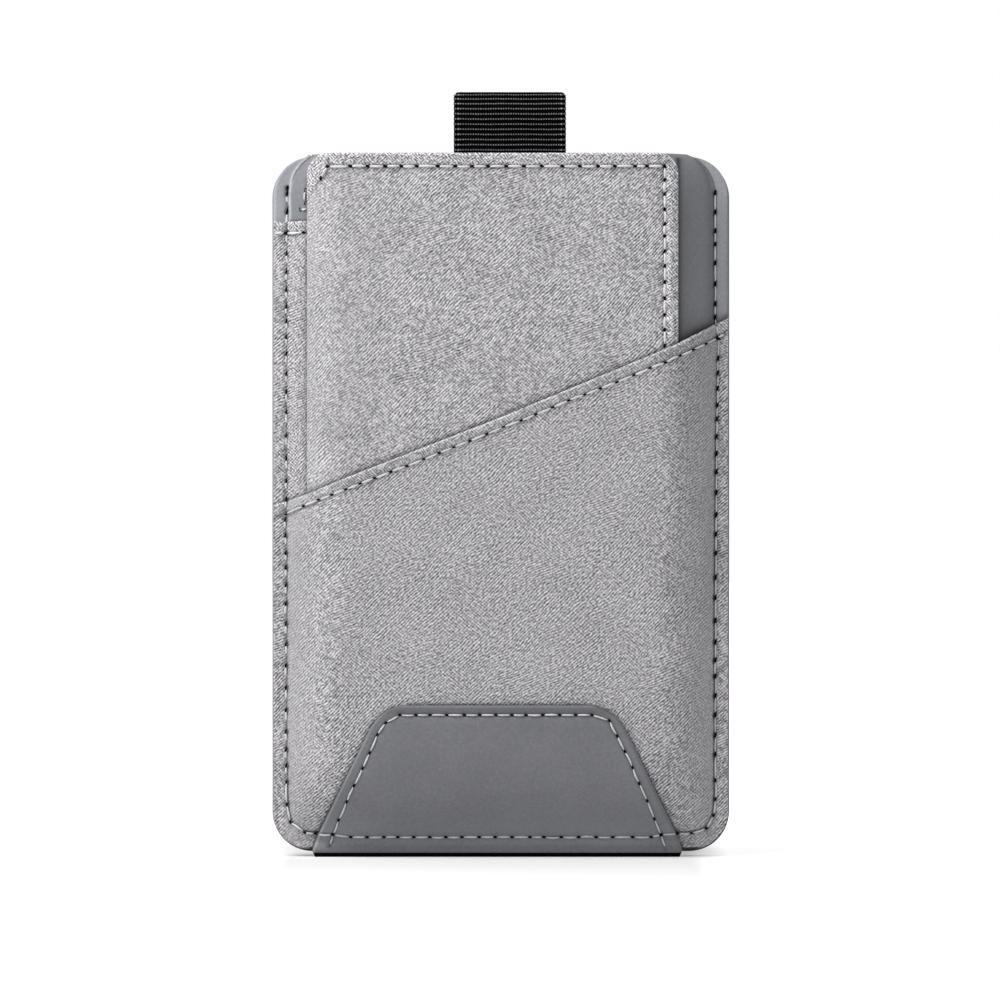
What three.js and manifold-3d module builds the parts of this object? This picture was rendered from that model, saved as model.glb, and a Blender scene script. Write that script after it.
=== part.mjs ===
// Front pocket wallet with a pull tab, standing on its bottom edge.
// Millimetres, +Z up, the front faces -Y, and the origin is the middle of the face it stands on.
// Panels are drawn as pattern pieces: x across, y up, z the depth forward from the back face.
import * as THREE from "three";
import { mergeVertices } from "three/addons/utils/BufferGeometryUtils.js";
import Module from "manifold-3d";

const wasm = await Module();
wasm.setup();

// Body outline
const bodyWidth = 66;
const bodyHeight = 100;
const bodyCornerRadius = 5.8;
const innerCornerRadius = 3.4;
const shoulderRadius = 5;
const rimStep = 0.3;

// Thickness of each ply, and the film of glue between plies
const outerLeather = 0.9;
const boardThickness = 0.6;
const liningLeather = 0.5;
const panelLeather = 0.7;
const pocketFabric = 0.5;
const centreFabric = 0.5;
const centreLining = 0.3;
const patchLeather = 0.65;
const glueGap = 0.1;

// Pockets
const mainPocketGap = 4.3;
const mainDomeRun = 7.5;
const mainDomeFullness = 2.6;
const frontDomeExtraRun = 1.5;
const frontDomeFullness = 2.4;
const layerClearance = 0.2;
const mouthOverrun = 0.1;
const hemRaise = 0.15;
const hemSink = 0.1;

// Pull strap
const webWidth = 16;
const webThickness = 0.55;
const webCentre = 1.3;
const plyGap = 0.55;
const strapClearance = 0.3;
const tabStandOut = 9;
const tabDoubledLength = 23;
const ribPitch = 0.74;
const ribDepth = 0.09;
const loopHeight = 12.5;
const anchorHeight = 61;
const endGap = 0.1;

// Side pocket, whose edge is level at the left and then slants down behind the centre panel
const sideEdgeLeftHeight = 90.7;
const sideEdgeRightHeight = 59;
const sideEdgeLevelWidth = 9;
const sideHemWidth = 1.7;

// Centre panel
const centreFoldFromFoot = 2.7;
const centreRightInset = 7.74;
const centreBottomHeight = 10.4;
const centreLeftCornerRadius = 2.3;
const centreRightCornerRadius = 1.3;
const centreHemWidth = 1.9;
const foldReturn = 1.2;

// Front pocket, with its diagonal edge from the left rim to the right rim
const frontEdgeLeftHeight = 49.1;
const frontEdgeRightHeight = 76.9;
const frontHemWidth = 1.6;
const frontEdgeShares = [
  [-1, 0],
  [-0.845, 0.083],
  [-0.663, 0.171],
  [0, 0.478],
  [0.76, 0.853],
  [1, 1],
];

// Leather patch
const patchCentre = -0.5;
const patchTopWidth = 33.6;
const patchBottomWidth = 52;
const patchHeight = 22.05;
const patchShoulderHeight = 3.25;
const patchTopRadius = 4.3;
const patchFootWidth = 52.8;
const patchFootChamfer = 0.65;
const toeReach = 1.6;
const toeHeight = 2.15;
const heelRadius = 0.4;

// Sewing thread
const seamInset = 1.95;
const threadRadius = 0.2;
const threadClearance = 0.06;
const rimStitch = 2.7;
const hemStitch = 2.4;
const seamTopHeight = 95.4;
const patchSeamInset = 1.43;
const tackThickness = 0.18;
const tackHeight = 1.6;
const tackMargin = 1.5;
const anchorTackHeight = 5;
const anchorTackBar = 0.7;
const holePinchShare = 0.6;

// Overrun of cuts, and how finely curves are divided
const overrun = 2;
const reach = 40;
const cornerSteps = 6;
const domeSteps = 6;
const threadSides = 4;

// Heights and depths that follow from the sizes above
const bodyBottom = patchLeather + glueGap;
const bodyTop = bodyBottom + bodyHeight;
const boardBack = outerLeather + glueGap;
const liningBack = boardBack + boardThickness + glueGap;
const liningFront = liningBack + liningLeather;
const creaseInset = seamInset + threadRadius + threadClearance;
const sideStack = panelLeather + glueGap + pocketFabric;
const sideRimFront = liningFront + glueGap + sideStack;
const sideTopFront = liningFront + mainPocketGap + sideStack;
const rearPlyBack = sideTopFront + strapClearance;
const frontPlyBack = rearPlyBack + webThickness + plyGap;
const frontPlyFront = frontPlyBack + webThickness;
const centreBack = frontPlyFront + strapClearance;
const centreStack = centreLining + glueGap + centreFabric;
const frontRimFront = sideRimFront + hemRaise + glueGap + pocketFabric;
const frontTopFront = centreBack + centreStack + hemRaise + layerClearance + pocketFabric;
const baseMiddle = (frontRimFront + toeReach) / 2;

// A profile lists points of (inset from the outline, depth), from the rim inwards.
function domeProfile(footInset, footDepth, topDepth, run, fullness) {
  const profile = [new THREE.Vector2(0, footDepth)];
  for (let step = 0; step <= domeSteps; step += 1) {
    const share = step / domeSteps;
    const rise = 1 - (1 - share) ** fullness;
    const depth = footDepth + (topDepth - footDepth) * rise;
    profile.push(new THREE.Vector2(footInset + run * share, depth));
  }
  const lead = run / domeSteps;
  profile.push(new THREE.Vector2(footInset + run + lead, topDepth));
  return profile;
}

function segmentNormal(from, to) {
  return new THREE.Vector2(from.y - to.y, to.x - from.x).normalize();
}

// The same surface moved along its own normal, with mitred corners
function offsetProfile(profile, distance) {
  const last = profile.length - 1;
  return profile.map((point, index) => {
    const before = segmentNormal(profile[Math.max(index, 1) - 1], profile[Math.max(index, 1)]);
    const afterStart = Math.min(index, last - 1);
    const after = segmentNormal(profile[afterStart], profile[afterStart + 1]);
    const mitre = before.clone().add(after).divideScalar(1 + before.dot(after));
    return point.clone().addScaledVector(mitre, distance);
  });
}

// Depth of a profile's surface at an inset
function depthAt(profile, inset) {
  const next = profile.findIndex((point) => point.x >= inset);
  if (next < 0) {
    return profile[profile.length - 1].y;
  }
  if (next === 0) {
    return profile[0].y;
  }
  const from = profile[next - 1];
  const to = profile[next];
  const share = (inset - from.x) / (to.x - from.x);
  return from.y + (to.y - from.y) * share;
}

function insetOf(x, y) {
  return Math.min(bodyWidth / 2 - Math.abs(x), y - bodyBottom);
}

// Outer faces of the front pocket and of the side pocket, which rises just inside it
const frontDome = domeProfile(
  creaseInset,
  frontRimFront,
  frontTopFront,
  mainDomeRun + frontDomeExtraRun,
  frontDomeFullness,
);
const mainFoot = offsetProfile(frontDome, -(pocketFabric + glueGap + hemRaise))[1].x;
const mainDome = domeProfile(mainFoot, sideRimFront, sideTopFront, mainDomeRun, mainDomeFullness);

function solidFrom(geometry) {
  const bare = geometry.clone();
  bare.deleteAttribute("normal");
  bare.deleteAttribute("uv");
  const merged = mergeVertices(bare);
  const vertProperties = new Float32Array(merged.attributes.position.array);
  const triVerts = new Uint32Array(merged.index.array);
  return new wasm.Manifold(new wasm.Mesh({ numProp: 3, vertProperties, triVerts }));
}

function geometryFrom(solid) {
  const mesh = solid.getMesh();
  const geometry = new THREE.BufferGeometry();
  geometry.setAttribute("position", new THREE.BufferAttribute(mesh.vertProperties, 3));
  geometry.setIndex(new THREE.BufferAttribute(mesh.triVerts, 1));
  geometry.computeVertexNormals();
  return geometry;
}

// Rounded rectangle at an inset from the body outline, counterclockwise from the bottom right
function ringPoints(inset, topHeight, topRadius) {
  const half = bodyWidth / 2 - inset;
  const bottomRadius = Math.max(bodyCornerRadius - inset, innerCornerRadius);
  const bottomCentre = bodyBottom + inset + bottomRadius;
  const topCentre = topHeight - topRadius;
  const corners = [
    [half - bottomRadius, bottomCentre, bottomRadius],
    [half - topRadius, topCentre, topRadius],
    [topRadius - half, topCentre, topRadius],
    [bottomRadius - half, bottomCentre, bottomRadius],
  ];
  return corners.flatMap(([x, y, radius], corner) =>
    Array.from({ length: cornerSteps + 1 }, (_, step) => {
      const angle = (corner - 1 + step / cornerSteps) * (Math.PI / 2);
      return new THREE.Vector2(x + radius * Math.cos(angle), y + radius * Math.sin(angle));
    }),
  );
}

// Closed body through rings of equal point count, each a list of Vector3
function loft(rings) {
  const count = rings[0].length;
  const vertices = rings.flat();
  const index = [];
  for (let ring = 0; ring < rings.length - 1; ring += 1) {
    for (let side = 0; side < count; side += 1) {
      const a = ring * count + side;
      const b = ring * count + ((side + 1) % count);
      index.push(a, b, b + count, a, b + count, a + count);
    }
  }
  const lastRing = (rings.length - 1) * count;
  for (let side = 2; side < count; side += 1) {
    index.push(0, side, side - 1);
    index.push(lastRing, lastRing + side - 1, lastRing + side);
  }
  const geometry = new THREE.BufferGeometry().setFromPoints(vertices);
  geometry.setIndex(index);
  return geometry;
}

function ringAt(points, depth) {
  return points.map((point) => new THREE.Vector3(point.x, point.y, depth));
}

// Solid under a domed surface, down to a base depth
function domeSolid(profile, baseDepth, topHeight, topRadius) {
  const foot = profile[1];
  const rings = [ringAt(ringPoints(foot.x, topHeight, topRadius), baseDepth)];
  for (const point of profile.slice(1)) {
    rings.push(ringAt(ringPoints(point.x, topHeight, topRadius), point.y));
  }
  return solidFrom(loft(rings));
}

function prism(points, fromDepth, toDepth) {
  const settings = { depth: toDepth - fromDepth, bevelEnabled: false, curveSegments: cornerSteps };
  const shape = points instanceof THREE.Shape ? points : new THREE.Shape(points);
  return solidFrom(new THREE.ExtrudeGeometry(shape, settings).translate(0, 0, fromDepth));
}

function rimOutline() {
  return ringPoints(rimStep, bodyTop, bodyCornerRadius - rimStep);
}

// Domed sheet between two offsets of a profile, with a flat rim and an open top
function domedSheet(profile, near, far) {
  const back = offsetProfile(profile, near);
  const front = offsetProfile(profile, far);
  const top = bodyTop + overrun + shoulderRadius;
  const rim = prism(rimOutline(), back[0].y, front[0].y);
  const raised = domeSolid(front, (back[0].y + front[0].y) / 2, top, shoulderRadius);
  const hollow = domeSolid(back, back[0].y - overrun, top, shoulderRadius);
  return rim.add(raised).subtract(hollow);
}

function trimmed(solid, shape) {
  return solid.intersect(prism(shape, -reach, reach));
}

// Area below a line of points that runs from left to right
function areaBelow(points) {
  const first = points[0];
  const last = points[points.length - 1];
  const bottom = -overrun;
  return [new THREE.Vector2(first.x, bottom), new THREE.Vector2(last.x, bottom), ...points.toReversed()];
}

// Band of one width under the same line
function bandBelow(points, width) {
  const lower = points.map((point) => new THREE.Vector2(point.x, point.y - width));
  return [...lower, ...points.toReversed()];
}

function sideEdge() {
  const half = bodyWidth / 2 + overrun;
  return [
    new THREE.Vector2(-half, bodyBottom + sideEdgeLeftHeight),
    new THREE.Vector2(sideEdgeLevelWidth - bodyWidth / 2, bodyBottom + sideEdgeLeftHeight),
    new THREE.Vector2(half, bodyBottom + sideEdgeRightHeight),
  ];
}

function frontEdge() {
  const rise = frontEdgeRightHeight - frontEdgeLeftHeight;
  const points = frontEdgeShares.map(
    ([across, up]) =>
      new THREE.Vector2((across * bodyWidth) / 2, bodyBottom + frontEdgeLeftHeight + rise * up),
  );
  points[0].x -= overrun;
  points[points.length - 1].x += overrun;
  return points;
}

// Height of an edge line at x
function edgeHeight(points, x) {
  const next = Math.max(1, points.findIndex((point) => point.x >= x));
  const from = points[next - 1];
  const to = points[next];
  return from.y + ((to.y - from.y) * (x - from.x)) / (to.x - from.x);
}

// Trapezoid of the patch with rounded upper corners, down to the chamfered foot
function patchOutline(inset) {
  const topHalf = patchTopWidth / 2;
  const bottomHalf = patchBottomWidth / 2;
  const slope = new THREE.Vector2(topHalf - bottomHalf, patchHeight - patchShoulderHeight).normalize();
  const sideShift = inset / slope.y;
  const top = patchHeight - inset;
  const topCorner = topHalf + ((patchHeight - top) * (bottomHalf - topHalf))
    / (patchHeight - patchShoulderHeight) - sideShift;
  const round = Math.max(patchTopRadius - inset, threadRadius);
  const alongSide = slope.clone().multiplyScalar(round);
  return {
    top,
    topCorner,
    round,
    alongSide,
    shoulder: bottomHalf - sideShift,
    foot: patchFootWidth / 2 - sideShift,
  };
}

function patchShape() {
  const edge = patchOutline(0);
  const shape = new THREE.Shape();
  const left = (x) => patchCentre - x;
  const right = (x) => patchCentre + x;
  shape.moveTo(left(edge.foot - patchFootChamfer), 0);
  shape.lineTo(right(edge.foot - patchFootChamfer), 0);
  shape.lineTo(right(edge.foot), patchFootChamfer);
  shape.lineTo(right(edge.shoulder), patchShoulderHeight);
  shape.lineTo(right(edge.topCorner - edge.alongSide.x), edge.top - edge.alongSide.y);
  shape.quadraticCurveTo(right(edge.topCorner), edge.top, right(edge.topCorner - edge.round), edge.top);
  shape.lineTo(left(edge.topCorner - edge.round), edge.top);
  shape.quadraticCurveTo(
    left(edge.topCorner),
    edge.top,
    left(edge.topCorner - edge.alongSide.x),
    edge.top - edge.alongSide.y,
  );
  shape.lineTo(left(edge.shoulder), patchShoulderHeight);
  shape.lineTo(left(edge.foot), patchFootChamfer);
  return shape;
}

// Thread path along the patch's slanted sides and top edge, with tails past the rim seam
function patchSeamPath() {
  const edge = patchOutline(patchSeamInset);
  const path = new THREE.Path();
  const tail = bodyBottom + threadRadius + threadClearance;
  const left = (x) => patchCentre - x;
  const right = (x) => patchCentre + x;
  path.moveTo(left(edge.shoulder), patchShoulderHeight + tail);
  path.lineTo(left(edge.topCorner - edge.alongSide.x), edge.top - edge.alongSide.y);
  path.quadraticCurveTo(left(edge.topCorner), edge.top, left(edge.topCorner - edge.round), edge.top);
  path.lineTo(right(edge.topCorner - edge.round), edge.top);
  path.quadraticCurveTo(
    right(edge.topCorner),
    edge.top,
    right(edge.topCorner - edge.alongSide.x),
    edge.top - edge.alongSide.y,
  );
  path.lineTo(right(edge.shoulder), patchShoulderHeight + tail);
  return path;
}

function insidePatch(x, y) {
  const edge = patchOutline(0);
  const across = Math.abs(x - patchCentre);
  const share = (y - patchShoulderHeight) / (patchHeight - patchShoulderHeight);
  const half = edge.shoulder + (edge.topCorner - edge.shoulder) * Math.max(share, 0);
  return y < patchHeight && across < half;
}

// Thread strand along points, thinner at each stitch hole
function strand(points, radii, sides) {
  const rings = points.map((point, index) => {
    const before = points[Math.max(index - 1, 0)];
    const after = points[Math.min(index + 1, points.length - 1)];
    const along = after.clone().sub(before).normalize();
    const across = along.clone().cross(new THREE.Vector3(0, 0, 1)).normalize();
    const up = across.clone().cross(along);
    return Array.from({ length: sides }, (_, side) => {
      const angle = -((side + 1 / 2) * 2 * Math.PI) / sides;
      return point
        .clone()
        .addScaledVector(across, radii[index] * Math.cos(angle))
        .addScaledVector(up, radii[index] * Math.sin(angle));
    });
  });
  return loft(rings);
}

// Thread on a surface along a path: one station at each hole and one in the middle of each stitch
function stitchedThread(path, stitch, surface) {
  const stitches = Math.max(2, Math.round(path.getLength() / stitch));
  const flat = path.getSpacedPoints(stitches * 2);
  const window = path.getLength() / stitches / 2;
  const points = flat.map(({ x, y }, index) => {
    const near = [flat[Math.max(index - 1, 0)], flat[Math.min(index + 1, flat.length - 1)]];
    const here = surface(x, y);
    const depth = Math.max(here, surface(near[0].x, near[0].y), surface(near[1].x, near[1].y));
    const slopeX = (surface(x + window / 2, y) - surface(x - window / 2, y)) / window;
    const slopeY = (surface(x, y + window / 2) - surface(x, y - window / 2)) / window;
    const steepness = Math.min(Math.hypot(slopeX, slopeY, 1), 2);
    const covered = depth - here > pocketFabric / 2 ? depth : here;
    return new THREE.Vector3(x, y, covered + (threadRadius + threadClearance) * steepness);
  });
  const radii = points.map((_, index) => threadRadius * (index % 2 ? 1 : holePinchShare));
  return strand(points, radii, threadSides);
}

function rimSeamPath() {
  const half = bodyWidth / 2 - seamInset;
  const bottom = bodyBottom + seamInset;
  const radius = bodyCornerRadius - seamInset;
  const path = new THREE.Path();
  path.moveTo(-half, bodyBottom + seamTopHeight);
  path.lineTo(-half, bottom + radius);
  path.absarc(radius - half, bottom + radius, radius, Math.PI, Math.PI * 1.5, false);
  path.lineTo(half - radius, bottom);
  path.absarc(half - radius, bottom + radius, radius, Math.PI * 1.5, Math.PI * 2, false);
  path.lineTo(half, bodyBottom + seamTopHeight);
  return path;
}

const frontOfFront = frontDome;
const frontOfPatch = offsetProfile(frontDome, glueGap + patchLeather);
const frontOfMain = offsetProfile(mainDome, -(pocketFabric + glueGap));

// Depth of the outermost surface that the rim seam crosses
function rimSurface(x, y) {
  if (insidePatch(x, y)) {
    return depthAt(frontOfPatch, seamInset + threadRadius);
  }
  if (y < edgeHeight(frontEdge(), x)) {
    return frontOfFront[0].y + hemRaise;
  }
  if (y < edgeHeight(sideEdge(), x)) {
    return mainDome[0].y + hemRaise;
  }
  return frontOfMain[0].y;
}

function material(colour, roughness) {
  return new THREE.MeshStandardMaterial({ color: colour, roughness, metalness: 0 });
}

const smoothLeather = material(0x8a8b8f, 0.5);
const darkLeather = material(0x707175, 0.55);
const wovenFabric = material(0xb0afb2, 0.9);
const blackWebbing = material(0x1c1c1e, 0.85);
const boardStock = material(0x6b6459, 0.95);
const greyThread = material(0xc9c9cb, 0.7);

function named(name, geometry, finish) {
  const mesh = new THREE.Mesh(geometry, finish);
  mesh.name = name;
  return mesh;
}

// Back: three die-cut plies, with a stitching groove in the outer one
function backPanels() {
  const outline = ringPoints(0, bodyTop, bodyCornerRadius);
  const groovePoints = rimSeamPath()
    .getSpacedPoints(Math.round(rimSeamPath().getLength() / rimStitch))
    .map(({ x, y }) => new THREE.Vector3(x, y, 0));
  const grooveRadius = (threadRadius * 2 + threadClearance * 2) * Math.SQRT2;
  const grooveRadii = groovePoints.map(() => grooveRadius);
  const groove = solidFrom(strand(groovePoints, grooveRadii, threadSides));
  const outer = prism(outline, 0, outerLeather).subtract(groove);
  const board = prism(rimOutline(), boardBack, boardBack + boardThickness);
  const lining = prism(rimOutline(), liningBack, liningFront);
  return [
    named("back_outer_panel", geometryFrom(outer), smoothLeather),
    named("back_board", geometryFrom(board), boardStock),
    named("back_lining_panel", geometryFrom(lining), smoothLeather),
  ];
}

// Moulded leather tray with rounded shoulders beside its open mouth
function mainPocketPanel() {
  const front = frontOfMain;
  const back = offsetProfile(front, -panelLeather);
  const rim = prism(rimOutline(), back[0].y, front[0].y);
  const middle = (back[0].y + front[0].y) / 2;
  const raised = domeSolid(front, middle, bodyTop, shoulderRadius);
  const wall = back[1].x - front[1].x;
  const hollow = domeSolid(
    back,
    back[0].y - overrun,
    bodyTop + mouthOverrun,
    shoulderRadius - wall,
  );
  return named("main_pocket_panel", geometryFrom(rim.add(raised).subtract(hollow)), smoothLeather);
}

function sidePocketPanel() {
  const edge = sideEdge();
  const ply = trimmed(domedSheet(mainDome, -pocketFabric, 0), areaBelow(edge));
  const hem = trimmed(domedSheet(mainDome, -hemSink, hemRaise), bandBelow(edge, sideHemWidth));
  return named("side_pocket_panel", geometryFrom(ply.add(hem)), wovenFabric);
}

function frontPocketPanel() {
  const edge = frontEdge();
  const ply = trimmed(domedSheet(frontDome, -pocketFabric, 0), areaBelow(edge));
  const hem = trimmed(domedSheet(frontDome, -hemSink, hemRaise), bandBelow(edge, frontHemWidth));
  return named("front_pocket_panel", geometryFrom(ply.add(hem)), wovenFabric);
}

// The centre panel follows the back of the front pocket, and so curves down at both sides.
const backOfFront = offsetProfile(frontDome, -pocketFabric);
const centreLeft = backOfFront[1].x + centreFoldFromFoot - bodyWidth / 2;
const centreRight = bodyWidth / 2 - centreRightInset;
const centreBottom = bodyBottom + centreBottomHeight;

function centreSurface(x) {
  return depthAt(backOfFront, bodyWidth / 2 - Math.abs(x)) - layerClearance - hemRaise;
}

function centreStations(from, to) {
  const inner = backOfFront.slice(1).map((point) => bodyWidth / 2 - point.x);
  const places = [...inner.map((x) => -x), ...inner].filter((x) => x > from && x < to);
  return [from, ...places.sort((a, b) => a - b), to];
}

// Section of a ply between two depths behind the centre surface, raised along the panel's height
function centrePly(from, to, behindFront, behindBack) {
  const stations = centreStations(from, to);
  const front = stations.map((x) => new THREE.Vector2(x, centreSurface(x) - behindFront));
  const back = stations.map((x) => new THREE.Vector2(x, centreSurface(x) - behindBack));
  const shape = new THREE.Shape([...back, ...front.toReversed()]);
  const length = bodyTop - centreBottom;
  const geometry = new THREE.ExtrudeGeometry(shape, { depth: length, bevelEnabled: false });
  return solidFrom(geometry.rotateX(Math.PI / 2).translate(0, bodyTop, 0));
}

function centreOutline() {
  const shape = new THREE.Shape();
  shape.moveTo(centreLeft, centreBottom - overrun);
  shape.lineTo(centreRight, centreBottom - overrun);
  shape.lineTo(centreRight, bodyTop - centreRightCornerRadius);
  shape.absarc(
    centreRight - centreRightCornerRadius,
    bodyTop - centreRightCornerRadius,
    centreRightCornerRadius,
    0,
    Math.PI / 2,
    false,
  );
  shape.lineTo(centreLeft + centreLeftCornerRadius, bodyTop);
  shape.absarc(
    centreLeft + centreLeftCornerRadius,
    bodyTop - centreLeftCornerRadius,
    centreLeftCornerRadius,
    Math.PI / 2,
    Math.PI,
    false,
  );
  return shape;
}

function centreHemArea() {
  const left = centreLeft - overrun;
  const right = centreRight + overrun;
  const top = bodyTop + overrun;
  return [
    new THREE.Vector2(centreRight - centreHemWidth, centreBottom - overrun),
    new THREE.Vector2(right, centreBottom - overrun),
    new THREE.Vector2(right, top),
    new THREE.Vector2(left, top),
    new THREE.Vector2(left, bodyTop - centreHemWidth),
    new THREE.Vector2(centreRight - centreHemWidth, bodyTop - centreHemWidth),
  ];
}

function centrePanels() {
  const front = centrePly(centreLeft, centreRight, 0, centreFabric);
  const fold = centrePly(centreLeft, centreLeft + foldReturn, centreFabric / 2, centreStack);
  const hem = trimmed(centrePly(centreLeft, centreRight, -hemRaise, hemSink), centreHemArea());
  const lining = centrePly(
    centreLeft + foldReturn + glueGap,
    centreRight,
    centreFabric + glueGap,
    centreStack,
  );
  const panel = trimmed(front.add(fold).add(hem), centreOutline());
  return [
    named("centre_panel", geometryFrom(panel), wovenFabric),
    named("centre_panel_lining", geometryFrom(trimmed(lining, centreOutline())), wovenFabric),
  ];
}

// Patch: a sheet over the front pocket, a rolled toe, the foot it stands on and a rear flap
function leatherPatch() {
  const sheet = domedSheet(frontDome, glueGap, glueGap + patchLeather);
  const rimBack = frontRimFront + glueGap;
  const rimFront = rimBack + patchLeather;
  const rearFront = -glueGap;
  const rearBack = rearFront - patchLeather;
  const side = new THREE.Shape();
  side.moveTo(rearBack + heelRadius, 0);
  side.lineTo(rimFront + toeReach - heelRadius, 0);
  side.quadraticCurveTo(rimFront + toeReach, 0, rimFront + toeReach, toeHeight / 2);
  side.quadraticCurveTo(rimFront + toeReach, toeHeight, rimFront, toeHeight);
  side.lineTo(rimBack, toeHeight);
  side.lineTo(rimBack, patchLeather);
  side.lineTo(rearFront, patchLeather);
  side.lineTo(rearFront, patchHeight + overrun);
  side.lineTo(rearBack, patchHeight + overrun);
  side.lineTo(rearBack, heelRadius);
  side.quadraticCurveTo(rearBack, 0, rearBack + heelRadius, 0);
  const settings = { depth: patchFootWidth + overrun, bevelEnabled: false, curveSegments: cornerSteps };
  const wrap = new THREE.ExtrudeGeometry(side, settings);
  wrap.applyMatrix4(new THREE.Matrix4().makeBasis(
    new THREE.Vector3(0, 0, 1),
    new THREE.Vector3(0, 1, 0),
    new THREE.Vector3(-1, 0, 0),
  ));
  wrap.translate(patchCentre + (patchFootWidth + overrun) / 2, 0, 0);
  const whole = trimmed(sheet.add(solidFrom(wrap)), patchShape());
  return named("leather_patch", geometryFrom(whole), darkLeather);
}

// Side outline of the ribbed webbing between two heights, on one face
function ribbedEdge(fromHeight, toHeight, depth, outward) {
  const ribs = Math.max(1, Math.round(Math.abs(toHeight - fromHeight) / ribPitch));
  const points = [];
  for (let rib = 0; rib < ribs; rib += 1) {
    const start = fromHeight + ((toHeight - fromHeight) * rib) / ribs;
    const middle = start + (toHeight - fromHeight) / ribs / 2;
    points.push(new THREE.Vector2(start, depth - outward * ribDepth));
    points.push(new THREE.Vector2(middle, depth));
  }
  return points;
}

function acrossStrap(shape, width) {
  const geometry = new THREE.ExtrudeGeometry(shape, {
    depth: width,
    bevelEnabled: false,
    curveSegments: cornerSteps * 2,
  });
  geometry.applyMatrix4(new THREE.Matrix4().makeBasis(
    new THREE.Vector3(0, 1, 0),
    new THREE.Vector3(0, 0, 1),
    new THREE.Vector3(1, 0, 0),
  ));
  return geometry.translate(webCentre - width / 2, 0, 0);
}

// Ribbon end folded over at the top; the shape is drawn as (height, depth)
function pullTab() {
  const turnDepth = rearPlyBack + webThickness + plyGap / 2;
  const outerTurn = plyGap / 2 + webThickness;
  const turnHeight = bodyTop + tabStandOut - outerTurn;
  const low = turnHeight + outerTurn - tabDoubledLength;
  const shape = new THREE.Shape();
  const frontFace = ribbedEdge(low, turnHeight, frontPlyFront, 1);
  shape.setFromPoints(frontFace);
  shape.lineTo(turnHeight, frontPlyFront);
  shape.absarc(turnHeight, turnDepth, outerTurn, Math.PI / 2, -Math.PI / 2, true);
  for (const point of ribbedEdge(turnHeight, low, rearPlyBack, -1)) {
    shape.lineTo(point.x, point.y);
  }
  shape.lineTo(low, rearPlyBack + ribDepth);
  shape.lineTo(low, rearPlyBack + webThickness);
  shape.lineTo(turnHeight, rearPlyBack + webThickness);
  shape.absarc(turnHeight, turnDepth, plyGap / 2, -Math.PI / 2, Math.PI / 2, false);
  shape.lineTo(low, frontPlyBack);
  return named("pull_tab", acrossStrap(shape, webWidth), blackWebbing);
}

const tabLow = bodyTop + tabStandOut - tabDoubledLength;
const loopMiddle = bodyBottom + loopHeight + webThickness + plyGap / 2;

function strapLeg(name, lowHeight, highHeight, backDepth) {
  const geometry = new THREE.BoxGeometry(webWidth, highHeight - lowHeight, webThickness);
  geometry.translate(webCentre, (lowHeight + highHeight) / 2, backDepth + webThickness / 2);
  return named(name, geometry, blackWebbing);
}

function strapLoop() {
  const turnDepth = rearPlyBack + webThickness + plyGap / 2;
  const shape = new THREE.Shape();
  shape.moveTo(loopMiddle, rearPlyBack);
  shape.absarc(loopMiddle, turnDepth, plyGap / 2 + webThickness, Math.PI * 1.5, Math.PI / 2, true);
  shape.lineTo(loopMiddle, frontPlyBack);
  shape.absarc(loopMiddle, turnDepth, plyGap / 2, Math.PI / 2, Math.PI * 1.5, false);
  return named("pull_strap_loop", acrossStrap(shape, webWidth), blackWebbing);
}

function tabBarTack() {
  const width = webWidth - 2 * tackMargin;
  const geometry = new THREE.BoxGeometry(width, tackHeight, tackThickness);
  const depth = frontPlyFront + threadClearance / 2 + tackThickness / 2;
  geometry.translate(webCentre, tabLow + tackMargin + tackHeight / 2, depth);
  return named("tab_bar_tack", geometry, greyThread);
}

// Box stitch: a frame with two crossing bars
function anchorTack() {
  const width = webWidth - 2 * tackMargin;
  const back = rearPlyBack + webThickness + threadClearance / 2;
  const middle = bodyBottom + anchorHeight - tackMargin - anchorTackHeight / 2;
  const place = (geometry) => solidFrom(geometry.translate(webCentre, middle, back + tackThickness / 2));
  const plate = place(new THREE.BoxGeometry(width, anchorTackHeight, tackThickness));
  const inside = place(new THREE.BoxGeometry(
    width - 2 * anchorTackBar,
    anchorTackHeight - 2 * anchorTackBar,
    tackThickness + overrun,
  ));
  const lean = Math.atan2(anchorTackHeight - anchorTackBar, width - anchorTackBar);
  const diagonal = Math.hypot(width - anchorTackBar, anchorTackHeight - anchorTackBar);
  const bar = new THREE.BoxGeometry(diagonal, anchorTackBar, tackThickness);
  const bars = place(bar.clone().rotateZ(lean)).add(place(bar.clone().rotateZ(-lean)));
  const tack = plate.subtract(inside).add(bars.intersect(plate));
  return named("strap_anchor_tack", geometryFrom(tack), greyThread);
}

function linePath(points) {
  const path = new THREE.Path();
  path.setFromPoints(points);
  return path;
}

function frontHemThread() {
  const half = bodyWidth / 2 - creaseInset - threadRadius * 2;
  const edge = frontEdge();
  const inner = edge.slice(1, -1).map((point) => point.x);
  const points = [-half, ...inner, half].map(
    (x) => new THREE.Vector2(x, edgeHeight(edge, x) - frontHemWidth),
  );
  const surface = (x, y) => depthAt(frontDome, insetOf(x, y)) + hemRaise;
  return named("front_hem_thread", stitchedThread(linePath(points), hemStitch, surface), greyThread);
}

function centreHemThread() {
  const left = centreLeft + centreLeftCornerRadius + centreHemWidth;
  const right = centreRight - centreHemWidth;
  const top = bodyTop - centreHemWidth;
  const low = edgeHeight(frontEdge(), right) + centreHemWidth;
  const points = [
    new THREE.Vector2(left, top),
    new THREE.Vector2(right, top),
    new THREE.Vector2(right, low),
  ];
  const surface = (x) => centreSurface(x) + hemRaise;
  return named("centre_hem_thread", stitchedThread(linePath(points), hemStitch, surface), greyThread);
}

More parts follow.
